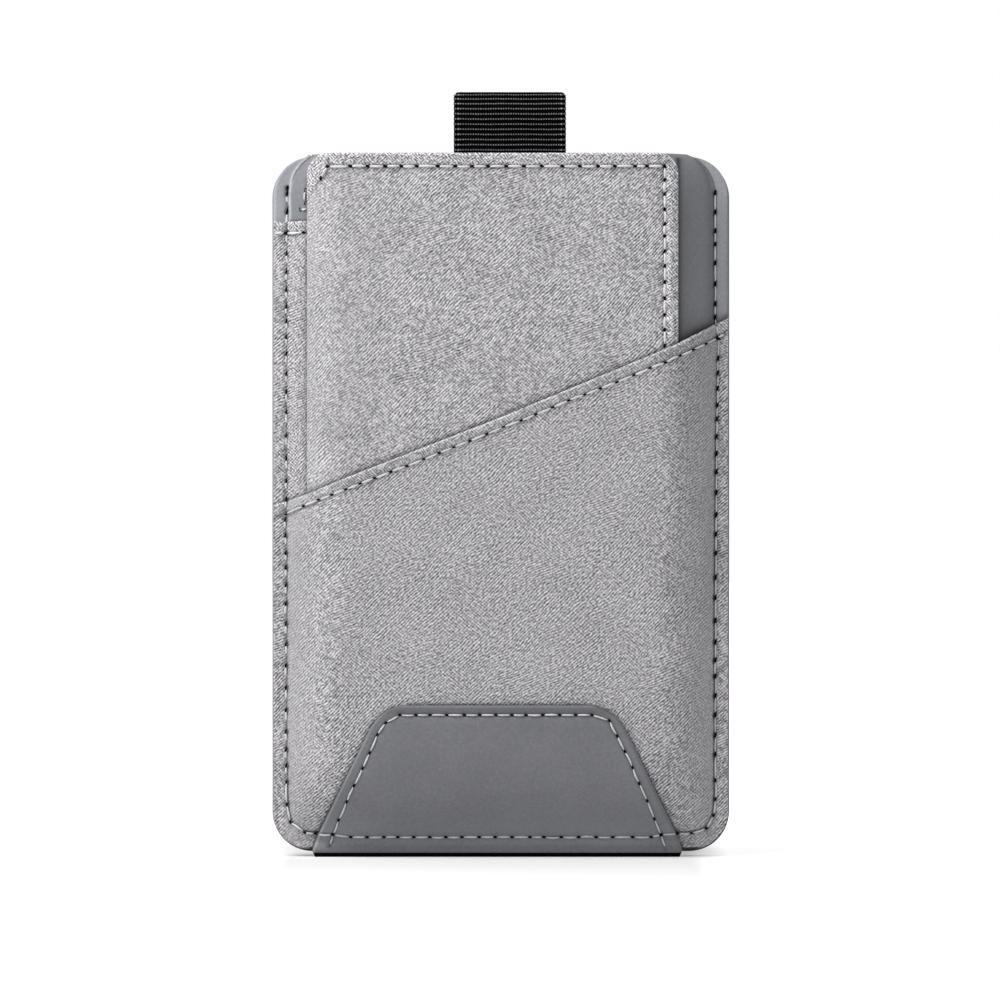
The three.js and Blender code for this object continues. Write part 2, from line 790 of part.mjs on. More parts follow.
function sideHemThread() {
  const height = bodyBottom + sideEdgeLeftHeight - sideHemWidth;
  const from = creaseInset + threadRadius * 2 - bodyWidth / 2;
  const points = [
    new THREE.Vector2(from, height),
    new THREE.Vector2(centreLeft - threadRadius, height),
  ];
  const surface = (x, y) => depthAt(mainDome, insetOf(x, y)) + hemRaise;
  return named("side_hem_thread", stitchedThread(linePath(points), hemStitch, surface), greyThread);
}

function rimThreads() {
  const front = stitchedThread(rimSeamPath(), rimStitch, rimSurface);
  const sunk = threadRadius * 2 + threadClearance;
  const stitches = Math.round(rimSeamPath().getLength() / rimStitch);
  const points = rimSeamPath()
    .getSpacedPoints(stitches * 2)
    .map(({ x, y }) => new THREE.Vector3(x, y, sunk / 2));
  const radii = points.map((_, index) => threadRadius * (index % 2 ? 1 : holePinchShare));
  return [
    named("rim_seam_front_thread", front, greyThread),
    named("rim_seam_rear_thread", strand(points, radii, threadSides), greyThread),
  ];
}

function patchThreads() {
  const surface = (x, y) => depthAt(frontOfPatch, insetOf(x, y));
  const front = stitchedThread(patchSeamPath(), hemStitch, surface);
  const rear = stitchedThread(patchSeamPath(), hemStitch, () => patchLeather + glueGap);
  rear.applyMatrix4(new THREE.Matrix4().makeRotationY(Math.PI));
  rear.translate(2 * patchCentre, 0, 0);
  return [
    named("patch_front_thread", front, greyThread),
    named("patch_rear_thread", rear, greyThread),
  ];
}

const wallet = new THREE.Group();
wallet.add(
  ...backPanels(),
  mainPocketPanel(),
  sidePocketPanel(),
  ...centrePanels(),
  frontPocketPanel(),
  leatherPatch(),
  pullTab(),
  strapLeg("pull_strap_front", loopMiddle + endGap, tabLow - endGap, frontPlyBack),
  strapLoop(),
  strapLeg("pull_strap_rear", loopMiddle + endGap, bodyBottom + anchorHeight, rearPlyBack),
  tabBarTack(),
  anchorTack(),
  ...rimThreads(),
  frontHemThread(),
  centreHemThread(),
  sideHemThread(),
  ...patchThreads(),
);
wallet.rotation.x = Math.PI / 2;
wallet.position.y = baseMiddle;

export default wallet;
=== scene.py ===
# Front pocket wallet with a pull tab, standing on its foot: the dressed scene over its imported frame.
import math
import bpy
import numpy as np
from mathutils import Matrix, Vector


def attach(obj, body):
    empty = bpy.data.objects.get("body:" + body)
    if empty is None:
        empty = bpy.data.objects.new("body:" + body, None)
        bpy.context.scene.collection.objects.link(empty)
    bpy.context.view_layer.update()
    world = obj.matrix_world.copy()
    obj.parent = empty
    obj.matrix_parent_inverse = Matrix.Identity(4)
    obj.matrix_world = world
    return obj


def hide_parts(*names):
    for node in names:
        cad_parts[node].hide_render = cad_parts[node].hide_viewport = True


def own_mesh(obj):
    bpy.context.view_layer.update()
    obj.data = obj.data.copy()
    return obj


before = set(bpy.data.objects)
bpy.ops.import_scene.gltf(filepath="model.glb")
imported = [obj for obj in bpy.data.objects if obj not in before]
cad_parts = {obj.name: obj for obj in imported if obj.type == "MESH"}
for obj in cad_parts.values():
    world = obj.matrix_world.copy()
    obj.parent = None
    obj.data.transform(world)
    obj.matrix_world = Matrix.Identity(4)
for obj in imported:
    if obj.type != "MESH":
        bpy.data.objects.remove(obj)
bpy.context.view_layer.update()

bpy.ops.object.select_all(action="DESELECT")

# Back outer ply
# The back is one die-cut sheet of grey calf leather, 0.9 mm thick, 66 x 100 mm with 5.8 mm corners.
# A stitching groove is creased 1.95 mm inside its edge, and the cut edge is sanded and edge-painted.
# Its lower edge hangs 0.15 mm below the drawn one, and painted shade makes it show as a dark line under the
# cloth.


def stations(start, *runs):
    """Places along a line, with its own spacing up to each end."""
    places = [np.array([start])]
    for end, step in runs:
        count = max(1, round(abs(end - places[-1][-1]) / step))
        places.append(np.linspace(places[-1][-1], end, count + 1)[1:])
    return np.concatenate(places)


def both_sides(half):
    return np.concatenate([-half[:0:-1], half])


def corner_steps(radius, steps):
    return radius * (1 - np.cos(np.linspace(0, math.pi / 2, steps + 1)))


def rounded_over(inside, radius):
    """How far a rounded edge or corner falls away, at a distance inside it."""
    return radius - np.sqrt(radius**2 - np.clip(radius - inside, 0, radius) ** 2)


def rounded_half_width(z, low, high, half, radius):
    """Half width of a die-cut panel at a height, with its corners rounded."""
    return half - rounded_over(np.minimum(z - low, high - z), radius)


def placed(mesh, x, depth, z):
    """Moves a mesh's points to places in millimetres: x across, depth forward from the back face, and
    z up, measured so that the body's lower edge is at 1 and the floor at 0.25."""
    places = np.stack([x, 2.975 - depth, z - 0.25], axis=-1) * 0.001
    mesh.vertices.foreach_set("co", places.astype(np.float32).ravel())
    mesh.update()


def draped_sheet(name, x, depth, z):
    rows, columns = x.shape
    bpy.ops.object.select_all(action="DESELECT")
    bpy.ops.mesh.primitive_grid_add(x_subdivisions=columns - 1, y_subdivisions=rows - 1, size=0.1)
    sheet = bpy.context.object
    sheet.name = sheet.data.name = name
    placed(sheet.data, x, depth, z)
    return sheet


def thickened(sheet, thickness, rounding, *finishes, **marks):
    """Gives a sheet its thickness behind its face. The first finish is the face's and the second the
    rounded cut edges'. marks are amounts at the sheet's points, which its finishes read."""
    for word, amount in marks.items():
        mark = sheet.data.attributes.new(word, "FLOAT", "POINT")
        mark.data.foreach_set("value", amount.astype(np.float32).ravel())
    for finish in finishes:
        sheet.data.materials.append(finish)
    ply = sheet.modifiers.new("ply", "SOLIDIFY")
    ply.thickness = thickness * 0.001
    ply.offset = -1
    ply.material_offset_rim = 1
    bpy.context.view_layer.objects.active = sheet
    sheet.select_set(True)
    bpy.ops.object.modifier_apply(modifier="ply")
    if rounding:
        rolled = sheet.modifiers.new("rolled", "BEVEL")
        rolled.width = rounding * 0.001
        rolled.segments = 2
        rolled.limit_method = "ANGLE"
        rolled.angle_limit = math.radians(60)
        bpy.ops.object.modifier_apply(modifier="rolled")
    bpy.ops.object.shade_smooth_by_angle(angle=math.radians(50))
    return sheet


def fitted(piece, body, slot, *nodes):
    """Puts a finished piece on its body, in place of its CAD nodes."""
    if nodes:
        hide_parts(*nodes)
    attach(piece, body)


def bell(value, centre, width):
    """1 at the centre, fading out softly over a width."""
    return np.exp(-(((value - centre) / width) ** 2))


def faded(value, limit, softness):
    """1 well below a limit and 0 well above it."""
    return 1 / (1 + np.exp(np.clip((value - limit) / softness, -60, 60)))


def from_seam(x, z, holes):
    """Distance from a row of needle holes, and from the nearest hole in it, in millimetres."""
    near = np.full_like(x, 99.0)
    hole = np.hypot(x - holes[-1][0], z - holes[-1][1])
    for (ax, az), (bx, bz) in zip(holes, holes[1:]):
        ex, ez = bx - ax, bz - az
        share = np.clip(((x - ax) * ex + (z - az) * ez) / (ex**2 + ez**2), 0, 1)
        near = np.minimum(near, np.hypot(x - ax - share * ex, z - az - share * ez))
        hole = np.minimum(hole, np.hypot(x - ax, z - az))
    return near, hole


def pulled_in(x, z, holes, groove, width, dimple, spread, pucker=0.0):
    """How far thread pulls a sheet in along a row of needle holes, in millimetres."""
    near, hole = from_seam(x, z, holes)
    return groove * bell(near, 0, width) + dimple * bell(hole, 0, spread) + pucker * bell(hole, 0, 1.2)


def seam_tone(x, z, holes, dark, width=0.13):
    """Painted shade on a sheet where thread has drawn it into a crease, deepest round each needle hole."""
    near, hole = from_seam(x, z, holes)
    return (1 - dark * bell(near, 0, width)) * (1 - 0.5 * dark * bell(hole, 0, 0.34))


def rim_tone(x, z, inset, width, dark, light=0.0):
    """Painted light and shade on a cut edge: painted shade where it faces down or to the right, a painted
    highlight at the left and top left.
    """
    across = np.sign(x) * np.maximum(np.abs(x) - 27.2, 0)
    up, down = np.maximum(z - 95.2, 0), np.maximum(6.8 - z, 0)
    leaning = np.where(x > 0, 0.2 * across, across - 0.35 * up) + down
    facing = leaning / np.maximum(np.hypot(across, up + down), 0.01)
    return 1 - faded(inset, width, 0.03) * np.where(facing > 0, dark, light) * np.clip(facing, -1, 1)


class Finish:
    """A node material under construction."""

    def __init__(self, name, roughness, specular):
        self.material = bpy.data.materials.new(name)
        self.material.use_nodes = True
        self.nodes = self.material.node_tree.nodes
        self.links = self.material.node_tree.links
        self.shader = self.nodes["Principled BSDF"]
        self.shader.inputs["Roughness"].default_value = roughness
        self.shader.inputs["Specular IOR Level"].default_value = specular

    def node(self, kind, inputs=(), **settings):
        made = self.nodes.new("ShaderNode" + kind)
        for key, value in settings.items():
            setattr(made, key, value)
        for key, value in dict(inputs).items():
            if isinstance(value, bpy.types.NodeSocket):
                self.links.new(value, made.inputs[key])
            else:
                made.inputs[key].default_value = value
        return made

    def place(self, turn=(0, 0, 0)):
        """Object coordinates in millimetres, turned."""
        coordinates = self.node("TexCoord").outputs["Object"]
        settings = {"Vector": coordinates, "Rotation": turn, "Scale": (1000, 1000, 1000)}
        return self.node("Mapping", settings).outputs["Vector"]

    def blotches(self, vector, scale, detail=2.0, roughness=0.5):
        settings = {"Vector": vector, "Scale": scale, "Detail": detail, "Roughness": roughness}
        return self.node("TexNoise", settings).outputs["Fac"]

    def maths(self, operation, first, second=0.0):
        return self.node("Math", {0: first, 1: second}, operation=operation).outputs[0]

    def span(self, value, low, high, to_low=0.0, to_high=1.0):
        """value moved from one span to another, and held inside it."""
        return self.node("MapRange", {0: value, 1: low, 2: high, 3: to_low, 4: to_high}).outputs[0]

    def blended(self, share, first, second):
        """first and second are tones or sockets of tones."""
        mix = self.node("Mix", {0: share, 2: first, 3: second}, data_type="FLOAT")
        return mix.outputs[0]

    def ramp(self, share, *stops):
        """Grey tones along a share, each stop being (place, red, green, blue) in linear light."""
        ramp = self.node("ValToRGB", {"Fac": share})
        elements = ramp.color_ramp.elements
        while len(elements) < len(stops):
            elements.new(0.5)
        for element, (place, *colour) in zip(elements, stops):
            element.position = place
            element.color = (*colour, 1)
        return ramp.outputs["Color"]

    def shaded(self, colour):
        """The colour times the piece's own attribute of tone, which carries painted light and shade."""
        tone = self.node("Attribute", attribute_name="tone").outputs["Color"]
        mix = self.node("Mix", {0: 1.0, 6: colour, 7: tone}, data_type="RGBA", blend_type="MULTIPLY")
        return mix.outputs[2]

    def relief(self, height, millimetres, strength=1.0):
        settings = {"Height": height, "Distance": millimetres * 0.001, "Strength": strength}
        return self.node("Bump", settings).outputs["Normal"]

    def feed(self, **sockets):
        for key, value in sockets.items():
            self.links.new(value, self.shader.inputs[key.replace("_", " ")])
        return self.material


def cool_grey(level):
    return (level * 0.985, level, level * 1.085)


def leather_finish(name, level, grain, roughness, shaded=False):
    """Smooth corrected leather: fine pebble, faint mottling, a slow change of tone."""
    skin = Finish(name, roughness, 0.4)
    place = skin.place()
    stretched = skin.place((0, math.radians(35), 0))
    stretched.node.inputs["Scale"].default_value = (700, 1000, 1500)
    pebbles = skin.node("TexVoronoi", {"Vector": stretched, "Scale": 2.6}, feature="SMOOTH_F1")
    pores = skin.blotches(place, 7.0, 3.0, 0.6)
    mottled = skin.blotches(place, 2.3, 2.0, 0.6)
    slow = skin.blotches(place, 0.09, 3.0, 0.55)
    height = skin.blended(0.45, pebbles.outputs["Distance"], pores)
    colour = skin.ramp(
        skin.blended(0.55, slow, mottled),
        (0.36, *cool_grey(level * 0.88)),
        (0.5, *cool_grey(level)),
        (0.64, *cool_grey(level * 1.13)),
    )
    if shaded:
        colour = skin.shaded(colour)
    gloss = skin.span(pores, 0, 1, roughness - 0.06, roughness + 0.1)
    return skin.feed(Base_Color=colour, Roughness=gloss, Normal=skin.relief(height, 0.06, grain))


def painted_edge(name, level):
    """Edge paint over a sanded cut edge, with faint lines of the plies, times the piece's painted light and
    shade.
    """
    paint = Finish(name, 0.42, 0.4)
    streaks = paint.blotches(paint.place(), 2.4, 3.0)
    colour = paint.ramp(streaks, (0.3, *cool_grey(level * 0.8)), (0.7, *cool_grey(level * 1.15)))
    return paint.feed(Base_Color=paint.shaded(colour), Normal=paint.relief(streaks, 0.06, 0.5))


smooth_leather = leather_finish("smooth_leather", 0.32, 0.4, 0.46, shaded=True)
leather_edge = painted_edge("leather_edge_paint", 0.27)

left_seam_heights = [
    95.6, 93.0, 90.0, 87.0, 84.4, 81.8, 79.4, 77.3, 75.0, 72.6, 69.7, 67.1, 64.2, 60.8, 57.5, 54.3, 51.6,
    48.7, 46.4, 43.9, 41.8, 39.3, 36.6, 33.7, 30.8, 27.7, 24.5, 21.3, 18.2, 15.6, 13.3, 11.0, 7.75,
]
right_seam_heights = [
    95.8, 93.0, 90.3, 88.4, 85.7, 82.7, 79.8, 77.9, 74.9, 71.9, 69.8, 67.6, 65.2, 63.2, 60.7, 58.2, 55.6,
    52.6, 49.4, 46.6, 43.9, 40.4, 37.5, 34.2, 31.1, 28.5, 26.2, 23.4, 20.6, 17.7, 14.9, 11.2, 8.5,
]
bottom_seam_places = [
    -21.57, -19.23, -16.8, -14.8, -12.5, -10.2, -7.9, -5.6, -3.1, -0.8, 1.6, 4.2, 6.2, 8.7, 11.2, 13.7,
    16.1, 18.96, 21.62,
]


def left_seam_place(height):
    heights = [7.7, 15.4, 44, 48.6, 51.7, 84, 90]
    return -np.interp(height, heights, [30.79, 30.93, 30.95, 31.08, 30.9, 30.9, 30.82])


def right_seam_place(height):
    heights = [8.5, 37, 49, 60, 71.9, 74.9, 77.9]
    return np.interp(height, heights, [30.88, 30.88, 31.0, 31.06, 31.28, 31.4, 30.9])


rim_holes = (
    [(-30.8, 96.5)]
    + [(left_seam_place(height), height) for height in left_seam_heights]
    + [(-30.28, 5.21), (-28.22, 3.73), (-26.64, 3.6), (-24.13, 3.5)]
    + [(place, 3.1) for place in bottom_seam_places]
    + [(23.05, 3.5), (25.35, 3.6), (27.44, 3.64), (29.59, 4.3), (30.64, 6.18)]
    + [(right_seam_place(height), height) for height in right_seam_heights[::-1]]
)

back_half, back_foot, back_top, back_radius = 33, 0.85, 101, 5.8
columns = stations(
    0, (24, 1.0), (28.8, 0.5), (30.4, 0.25), (31.3, 0.13), (32.4, 0.25), (back_half, 0.15)
)
corner = corner_steps(back_radius, 14)
rows = np.concatenate([back_foot + corner, stations(6.65, (95.2, 0.6))[1:], back_top - corner[-2::-1]])
z, share = np.meshgrid(rows, both_sides(columns)[::-1] / back_half, indexing="ij")
half_width = rounded_half_width(z, back_foot, back_top, back_half, back_radius)
x = share * half_width
sunk = pulled_in(x, z, rim_holes, 0.22, 0.42, 0.16, 0.4, 0.04)
margin = np.minimum(half_width - np.abs(x), np.minimum(z - back_foot, back_top - z))
# Painted light on the rim: painted shade within 0.34 mm of the edge where it faces down or right, a painted
# highlight where it faces left or up.
tone = rim_tone(x, z, margin, 0.34, 0.95, 0.25)
back_outer = draped_sheet("back_outer_leather", x, sunk, z)
thickened(back_outer, 0.88, 0.22, smooth_leather, leather_edge, tone=tone)
fitted(back_outer, "wallet_body", "smooth_leather", "back_outer_panel")

# Stiffener board and pocket lining
# A die-cut sheet of fibreboard keeps the back flat; it is rigid and stays as its CAD solid.
# The main pocket is lined on that side with thin split leather, glued on and caught in the rim seam.
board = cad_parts["back_board"]
pulp = Finish("grey_fibreboard", 0.9, 0.2)
fibres = pulp.blotches(pulp.place(), 1.6, 5.0, 0.7)
pulp_colour = pulp.ramp(fibres, (0.3, 0.10, 0.095, 0.088), (0.7, 0.17, 0.16, 0.145))
board.data.materials.clear()
board.data.materials.append(pulp.feed(Base_Color=pulp_colour, Normal=pulp.relief(fibres, 0.08, 0.6)))

flange_half, flange_foot, flange_radius = 32.7, 1.3, 5.5


def flange_half_width(z, top=back_top):
    """Half width of the inner plies, whose flanges end just inside the back's edge."""
    return rounded_half_width(z, flange_foot, top, flange_half, flange_radius)


corner = corner_steps(flange_radius, 8)
rows = np.concatenate([flange_foot + corner, stations(6.8, (95.5, 3))[1:], back_top - corner[-2::-1]])
z, share = np.meshgrid(rows, both_sides(stations(0, (flange_half, 2.0))) / flange_half, indexing="ij")
x = share * flange_half_width(z)
back_lining = draped_sheet("back_lining_leather", x, np.full_like(x, 2.2), z)
split_leather = leather_finish("split_leather_lining", 0.2, 0.6, 0.62)
thickened(back_lining, 0.46, 0.12, split_leather, split_leather)
fitted(back_lining, "wallet_body", "smooth_leather", "back_lining_panel")

# Main pocket panel
# Moulded leather, 0.7 mm: wetted and pressed over a form, so that it stands 4 mm off the back.
# Its walls turn down with rounded shoulders into a flat flange that the rim seam catches; the top is open.
# The walls are coloured darker than the flange, and the mould leaves a rolled line along the left one, with a
# painted highlight on it.


def ring_inset(x, z, side=None):
    """Distance in from the wallet's outline, along the rounded rings of the mould: with the outline's
    own radius near it, and a smaller one further in."""
    side = back_half - np.abs(x) if side is None else side
    foot = z - 1
    nearest = np.minimum(side, foot)
    outer = back_radius - np.hypot(np.maximum(back_radius - side, 0), np.maximum(back_radius - foot, 0))
    outer = np.where((side < back_radius) & (foot < back_radius), outer, nearest)
    inner_radius = 3.4
    spread = np.maximum(2 * inner_radius**2 - (side - foot) ** 2, 0)
    inner = (side + foot + np.sqrt(spread)) / 2 - inner_radius
    inner = np.where(np.abs(side - foot) < inner_radius, inner, nearest)
    return np.where(outer < 2.4, outer, inner)


def moulded(inset, foot, rim, top, run, fullness, ease=0.3):
    """Depth of a moulded face at an inset: a flange, a crease, a wall that rounds over to the top."""
    rise = inset - foot
    share = np.clip((rise + np.sqrt(rise**2 + ease**2)) / 2 / run, 0, 1)
    return rim + (top - rim) * (1 - (1 - share) ** fullness)


def laid_on(face, x, z, out):
    """Places a sheet out from a face along its own normal, in millimetres."""
    step = 0.04
    lean_x = (face(x + step, z) - face(x - step, z)) / (2 * step)
    lean_z = (face(x, z + step) - face(x, z - step)) / (2 * step)
    steep = np.sqrt(1 + lean_x**2 + lean_z**2)
    return x - lean_x / steep * out, face(x, z) + out / steep, z - lean_z / steep * out


def side_pocket_face(x, z):
    return moulded(ring_inset(x, z), 2.68, 3.6, 7.8, 7.5, 2.6)


def main_pocket_inset(x, z):
    """The mould's shoulders turn in towards the open top, more widely on the window side."""
    radius = np.where(x < 0, 7.5, 6.0)
    risen = np.clip(z - np.where(x < 0, 94.8, 95.7), 0, 6.2)
    shoulder = radius - np.sqrt(radius**2 - np.minimum(risen, radius - 0.5) ** 2)
    return ring_inset(x, z, back_half - np.abs(x) - shoulder)


def main_pocket_face(x, z):
    return moulded(main_pocket_inset(x, z), 2.62, 3.0, 7.2, 7.5, 2.6)


def front_edge_height(x):
    places = [-35, -27.9, -21.9, 0, 25.1, 33, 35]
    return np.interp(x, places, [50.1, 52.4, 54.85, 63.4, 73.8, 77.9, 77.9])


def above_mouth(x, z, dark, reach):
    """Shade on a panel beside the front pocket's mouth, which lies over it; it ends again further down."""
    above = (z - front_edge_height(x)) * 0.93
    return 1 - dark * bell(above, 0, np.where(above > 0, reach, 1.2))


def points(mesh):
    """A mesh's points, one in each row."""
    places = np.empty(len(mesh.vertices) * 3, np.float32)
    mesh.vertices.foreach_get("co", places)
    return places.reshape(-1, 3)


def trimmed(sheet, height):
    """Cuts a finished sheet's top edge level."""
    places = points(sheet.data)
    places[:, 2] = np.minimum(places[:, 2], (height - 0.25) * 0.001)
    sheet.data.vertices.foreach_set("co", places.ravel())
    sheet.data.update()


def foot_rows():
    """Heights that start close together on the rounded corners, then cross the foot's seam."""
    rounded = flange_foot + corner_steps(flange_radius, 16)[:8]
    return np.concatenate([rounded, stations(rounded[-1], (4.1, 0.13), (6.8, 0.36))[1:]])


columns = stations(0, (20, 1.6), (25, 0.6), (27, 0.2), (29.4, 0.26), (31.6, 0.1), (flange_half, 0.22))
rows = np.concatenate([
    foot_rows(),
    stations(6.8, (59, 0.9), (91.4, 0.4), (92.4, 0.12), (95.5, 0.3), (100.2, 0.14))[1:],
    back_top - corner_steps(flange_radius, 16)[5::-1],
])
z, share = np.meshgrid(rows, both_sides(columns) / flange_half, indexing="ij")
x = share * flange_half_width(z)
crease = main_pocket_inset(x, z)
line_inset = np.interp(z, [94, 96.7, 98.6, 100.2], [2.6, 2.45, 2.13, 2.07])
rolled_line_and_highlight = bell(crease, line_inset, 0.2) * ((x < 0) & (z > 91))
depth = main_pocket_face(x, z) + 0.18 * rolled_line_and_highlight
depth -= pulled_in(x, z, rim_holes, 0.16, 0.3, 0.2, 0.34, 0.03)
stretched_up = 0.35 * np.clip((z - 95) / 6, 0, 1) * np.clip((crease - 2.2) / 0.8, 0, 1)
wall_foot = np.where(x > 0, 2.05, line_inset - 0.3)
# Painted light: a highlight on the rolled line; painted shade in the right crease and on the right wall,
# beside both edges of the centre panel, under the side pocket's hem, along the seam and above the front
# pocket's mouth; painted light and shade on the cut edges.
tone = 1 - 0.36 * faded(wall_foot, crease, 0.04) + 0.9 * rolled_line_and_highlight
tone *= 1 - 0.45 * bell(crease, 2.08, 0.12) * (x > 0)
tone *= 1 - 0.24 * bell(crease, 2.3, 0.8) * (x > 0) * (crease > 2.08)
tone *= 1 - 0.9 * bell(x, 25.4, 0.55) * (x > 25.2) * (z < 100.4)
tone *= 1 - 0.35 * bell(x, -27.9, 0.25) * (x < -27.7) * (z < 98)
tone *= 1 - 0.45 * bell(z, 91.85, 0.15) * (x < -27) * (x > -30.6)
tone *= seam_tone(x, z, rim_holes, 0.7, 0.15) * above_mouth(x, z, 0.75, 0.7)
tone *= rim_tone(x, z, flange_half_width(z) - np.abs(x), 0.26, 0.5, 0.5)
tone *= rim_tone(x, z, z - flange_foot, 0.3, 0.85)
main_pocket = draped_sheet("main_pocket_leather", x, depth, z + stretched_up)
thickened(main_pocket, 0.68, 0.16, smooth_leather, leather_edge, tone=tone)
trimmed(main_pocket, 101.35)
fitted(main_pocket, "wallet_body", "smooth_leather", "main_pocket_panel")

# Side pocket panel
# Woven polyester cloth, 0.5 mm, over the moulded leather. Its upper edge is turned in and sewn down
# 1.7 mm below the fold: level at the left, then slanting down behind the centre panel.


def warm_grey(level):
    return (level * 1.025, level, level * 1.038)


def cloth_finish(name, level):
    """Cloth with fine wavy twill lines that rise to the right, and a crinkled face on its turned hems."""
    cloth = Finish(name, 0.82, 0.25)
    cloth.shader.inputs["Sheen Weight"].default_value = 0.12
    cloth.shader.inputs["Sheen Roughness"].default_value = 0.5
    flat = cloth.place()
    elsewhere = cloth.node("Mapping", {"Vector": flat, "Location": (40, 0, 25)}).outputs[0]
    moved = flat
    for scale, reach in ((0.085, 1.6), (0.75, 0.36), (2.4, 0.17)):
        noise = cloth.node("TexNoise", {"Vector": flat, "Scale": scale, "Detail": 1.0}).outputs["Color"]
        shift = cloth.node("VectorMath", {0: noise, 1: (0.5, 0.5, 0.5)}, operation="SUBTRACT").outputs[0]
        shift = cloth.node("VectorMath", {0: shift, "Scale": reach}, operation="SCALE").outputs[0]
        moved = cloth.node("VectorMath", {0: moved, 1: shift}, operation="ADD").outputs[0]

    def lines(angle, pitch):
        rising = cloth.node("Mapping", {"Vector": moved, "Rotation": (0, math.radians(angle), 0)}).outputs[0]
        wave = cloth.node("TexWave", {"Vector": rising, "Scale": 0.314159 / pitch}, bands_direction="Z")
        return wave.outputs["Fac"]

    level_patches = cloth.span(cloth.blotches(flat, 0.13), 0.44, 0.64, 0.0, 0.75)
    weave = cloth.blended(level_patches, lines(44, 0.37), lines(22, 0.37))
    falling_patches = cloth.span(cloth.blotches(elsewhere, 0.15), 0.48, 0.66, 0.0, 0.55)
    weave = cloth.blended(falling_patches, weave, lines(-40, 0.36))
    grains = cloth.span(cloth.blotches(flat, 2.6, 1.0), 0.35, 0.65)
    weave = cloth.blended(0.4, weave, grains)
    turns = cloth.span(cloth.blotches(elsewhere, 1.1), 0.44, 0.56)
    crinkled = cloth.blended(0.45, cloth.blended(turns, lines(38, 0.35), lines(-48, 0.35)), grains)
    hem = cloth.node("Attribute", attribute_name="hem").outputs["Fac"]
    calm = cloth.node("Attribute", attribute_name="calm").outputs["Fac"]
    height = cloth.blended(calm, cloth.blended(hem, weave, crinkled), 0.5)
    slow = cloth.maths("MULTIPLY", cloth.maths("SUBTRACT", cloth.blotches(flat, 0.12), 0.5), 0.15)
    colour = cloth.ramp(
        cloth.maths("ADD", height, slow),
        (0.08, *warm_grey(level * 0.16)),
        (0.5, *warm_grey(level * 0.98)),
        (0.95, *warm_grey(min(level * 2.2, 0.93))),
    )
    return cloth.feed(Base_Color=cloth.shaded(colour), Normal=cloth.relief(height, 0.09, 0.5))


woven_cloth = cloth_finish("woven_cloth", 0.40)


def hem_fold(below_edge, width, raise_by):
    """How far a turned hem stands out, from the round of its fold down to its stitch line."""
    nose = 0.34
    return raise_by * faded(below_edge, width, 0.07) - rounded_over(below_edge, nose)


def on_hem(below_edge, width):
    """1 on a turned hem and 0 below it."""
    return np.clip((width - below_edge) / 0.15, 0, 1)


def pocket_rows(edge):
    """Heights of a pocket's rows at each column, closing up towards its turned edge."""
    step, hem = 0.36, 3.0
    fine = stations(hem, (2.0, 0.2), (1.3, 0.1), (0.4, 0.2), (0, 0.06))
    foot = foot_rows()
    bands = stations(0, (1, step / (edge.max() - hem - foot[-1])))[1:, None]
    lower = np.repeat(foot[:, None], edge.size, axis=1)
    middle = foot[-1] + bands * (edge - hem - foot[-1])
    return np.concatenate([lower, middle, edge - fine[1:, None]])


def hem_shade(below_edge, width):
    """Shade in the crease below a turned hem, and light along its fold."""
    return (1 - 0.28 * bell(below_edge, width, 0.13)) * (1 + 0.3 * bell(below_edge, 0.18, 0.14))


def side_edge_height(x):
    return np.interp(x, [-35, -24, 35], [91.7, 91.7, 60])


columns = np.concatenate([
    -stations(flange_half, (31.6, 0.22), (30.0, 0.1), (27.0, 0.25), (22, 0.6)),
    stations(-22, (24, 4.0), (flange_half, 0.6))[1:],
])
edge = side_edge_height(columns)
z = pocket_rows(edge)
x = columns / flange_half * flange_half_width(z, top=200)
below_edge = edge - z
side_hem_holes = [(-32.75, 90.0), (-31.0, 90.0), (-28.3, 90.0), (-26.0, 90.0)]
out = hem_fold(below_edge, 1.7, 0.14) - 0.12 * bell(x, -30.8, 0.35) * bell(below_edge, 0, 1.5)
out -= pulled_in(x, z, rim_holes, 0.2, 0.3, 0.16, 0.34, 0.05)
out -= pulled_in(x, z, side_hem_holes, 0.1, 0.3, 0.12, 0.3)
# Painted shade along the rim seam, below the hem, above the front pocket's mouth, beside the centre panel's
# fold and over the strip next to it; painted light and shade on the cut edge.
tone = seam_tone(x, z, rim_holes, 0.6) * hem_shade(below_edge, 1.8) * above_mouth(x, z, 0.5, 0.32)
tone *= 1 - 0.4 * bell(x, -27.9, 0.3) * (x < -27.7)
tone *= 1 - 0.2 * bell(x, -27.8, 1.8)
tone *= rim_tone(x, z, flange_half - np.abs(x), 0.12, 0.35)
x, depth, z = laid_on(side_pocket_face, x, z, out)
side_pocket = draped_sheet("side_pocket_cloth", x, depth, z)
hem = on_hem(below_edge, 1.75)
thickened(side_pocket, 0.44, 0.1, woven_cloth, woven_cloth, hem=hem, tone=tone)
fitted(side_pocket, "wallet_body", "woven_fabric", "side_pocket_panel")

# Sewing thread
# Every seam is a lock stitch of bonded two-ply polyester, 0.4 mm thick, light grey. Each stitch is one
# short twisted length that dips into a needle hole at both ends; each hole is a near-black disc of painted
# shade.
ply_thread = Finish("bonded_thread", 0.5, 0.4)
ply_thread.shader.inputs["Sheen Weight"].default_value = 0.2
strands = ply_thread.node("TexCoord").outputs["UV"]
slanted = {"Vector": strands, "Rotation": (0, 0, 0.6), "Scale": (6, 6, 6)}
strands = ply_thread.node("Mapping", slanted).outputs[0]
twist = ply_thread.node("TexWave", {"Vector": strands, "Scale": 0.9, "Distortion": 0.4}).outputs["Fac"]
thread_colour = ply_thread.ramp(twist, (0.1, 0.68, 0.68, 0.69), (0.7, 0.97, 0.97, 0.97))
bonded_thread = ply_thread.feed(Base_Color=thread_colour, Normal=ply_thread.relief(twist, 0.05, 0.6))

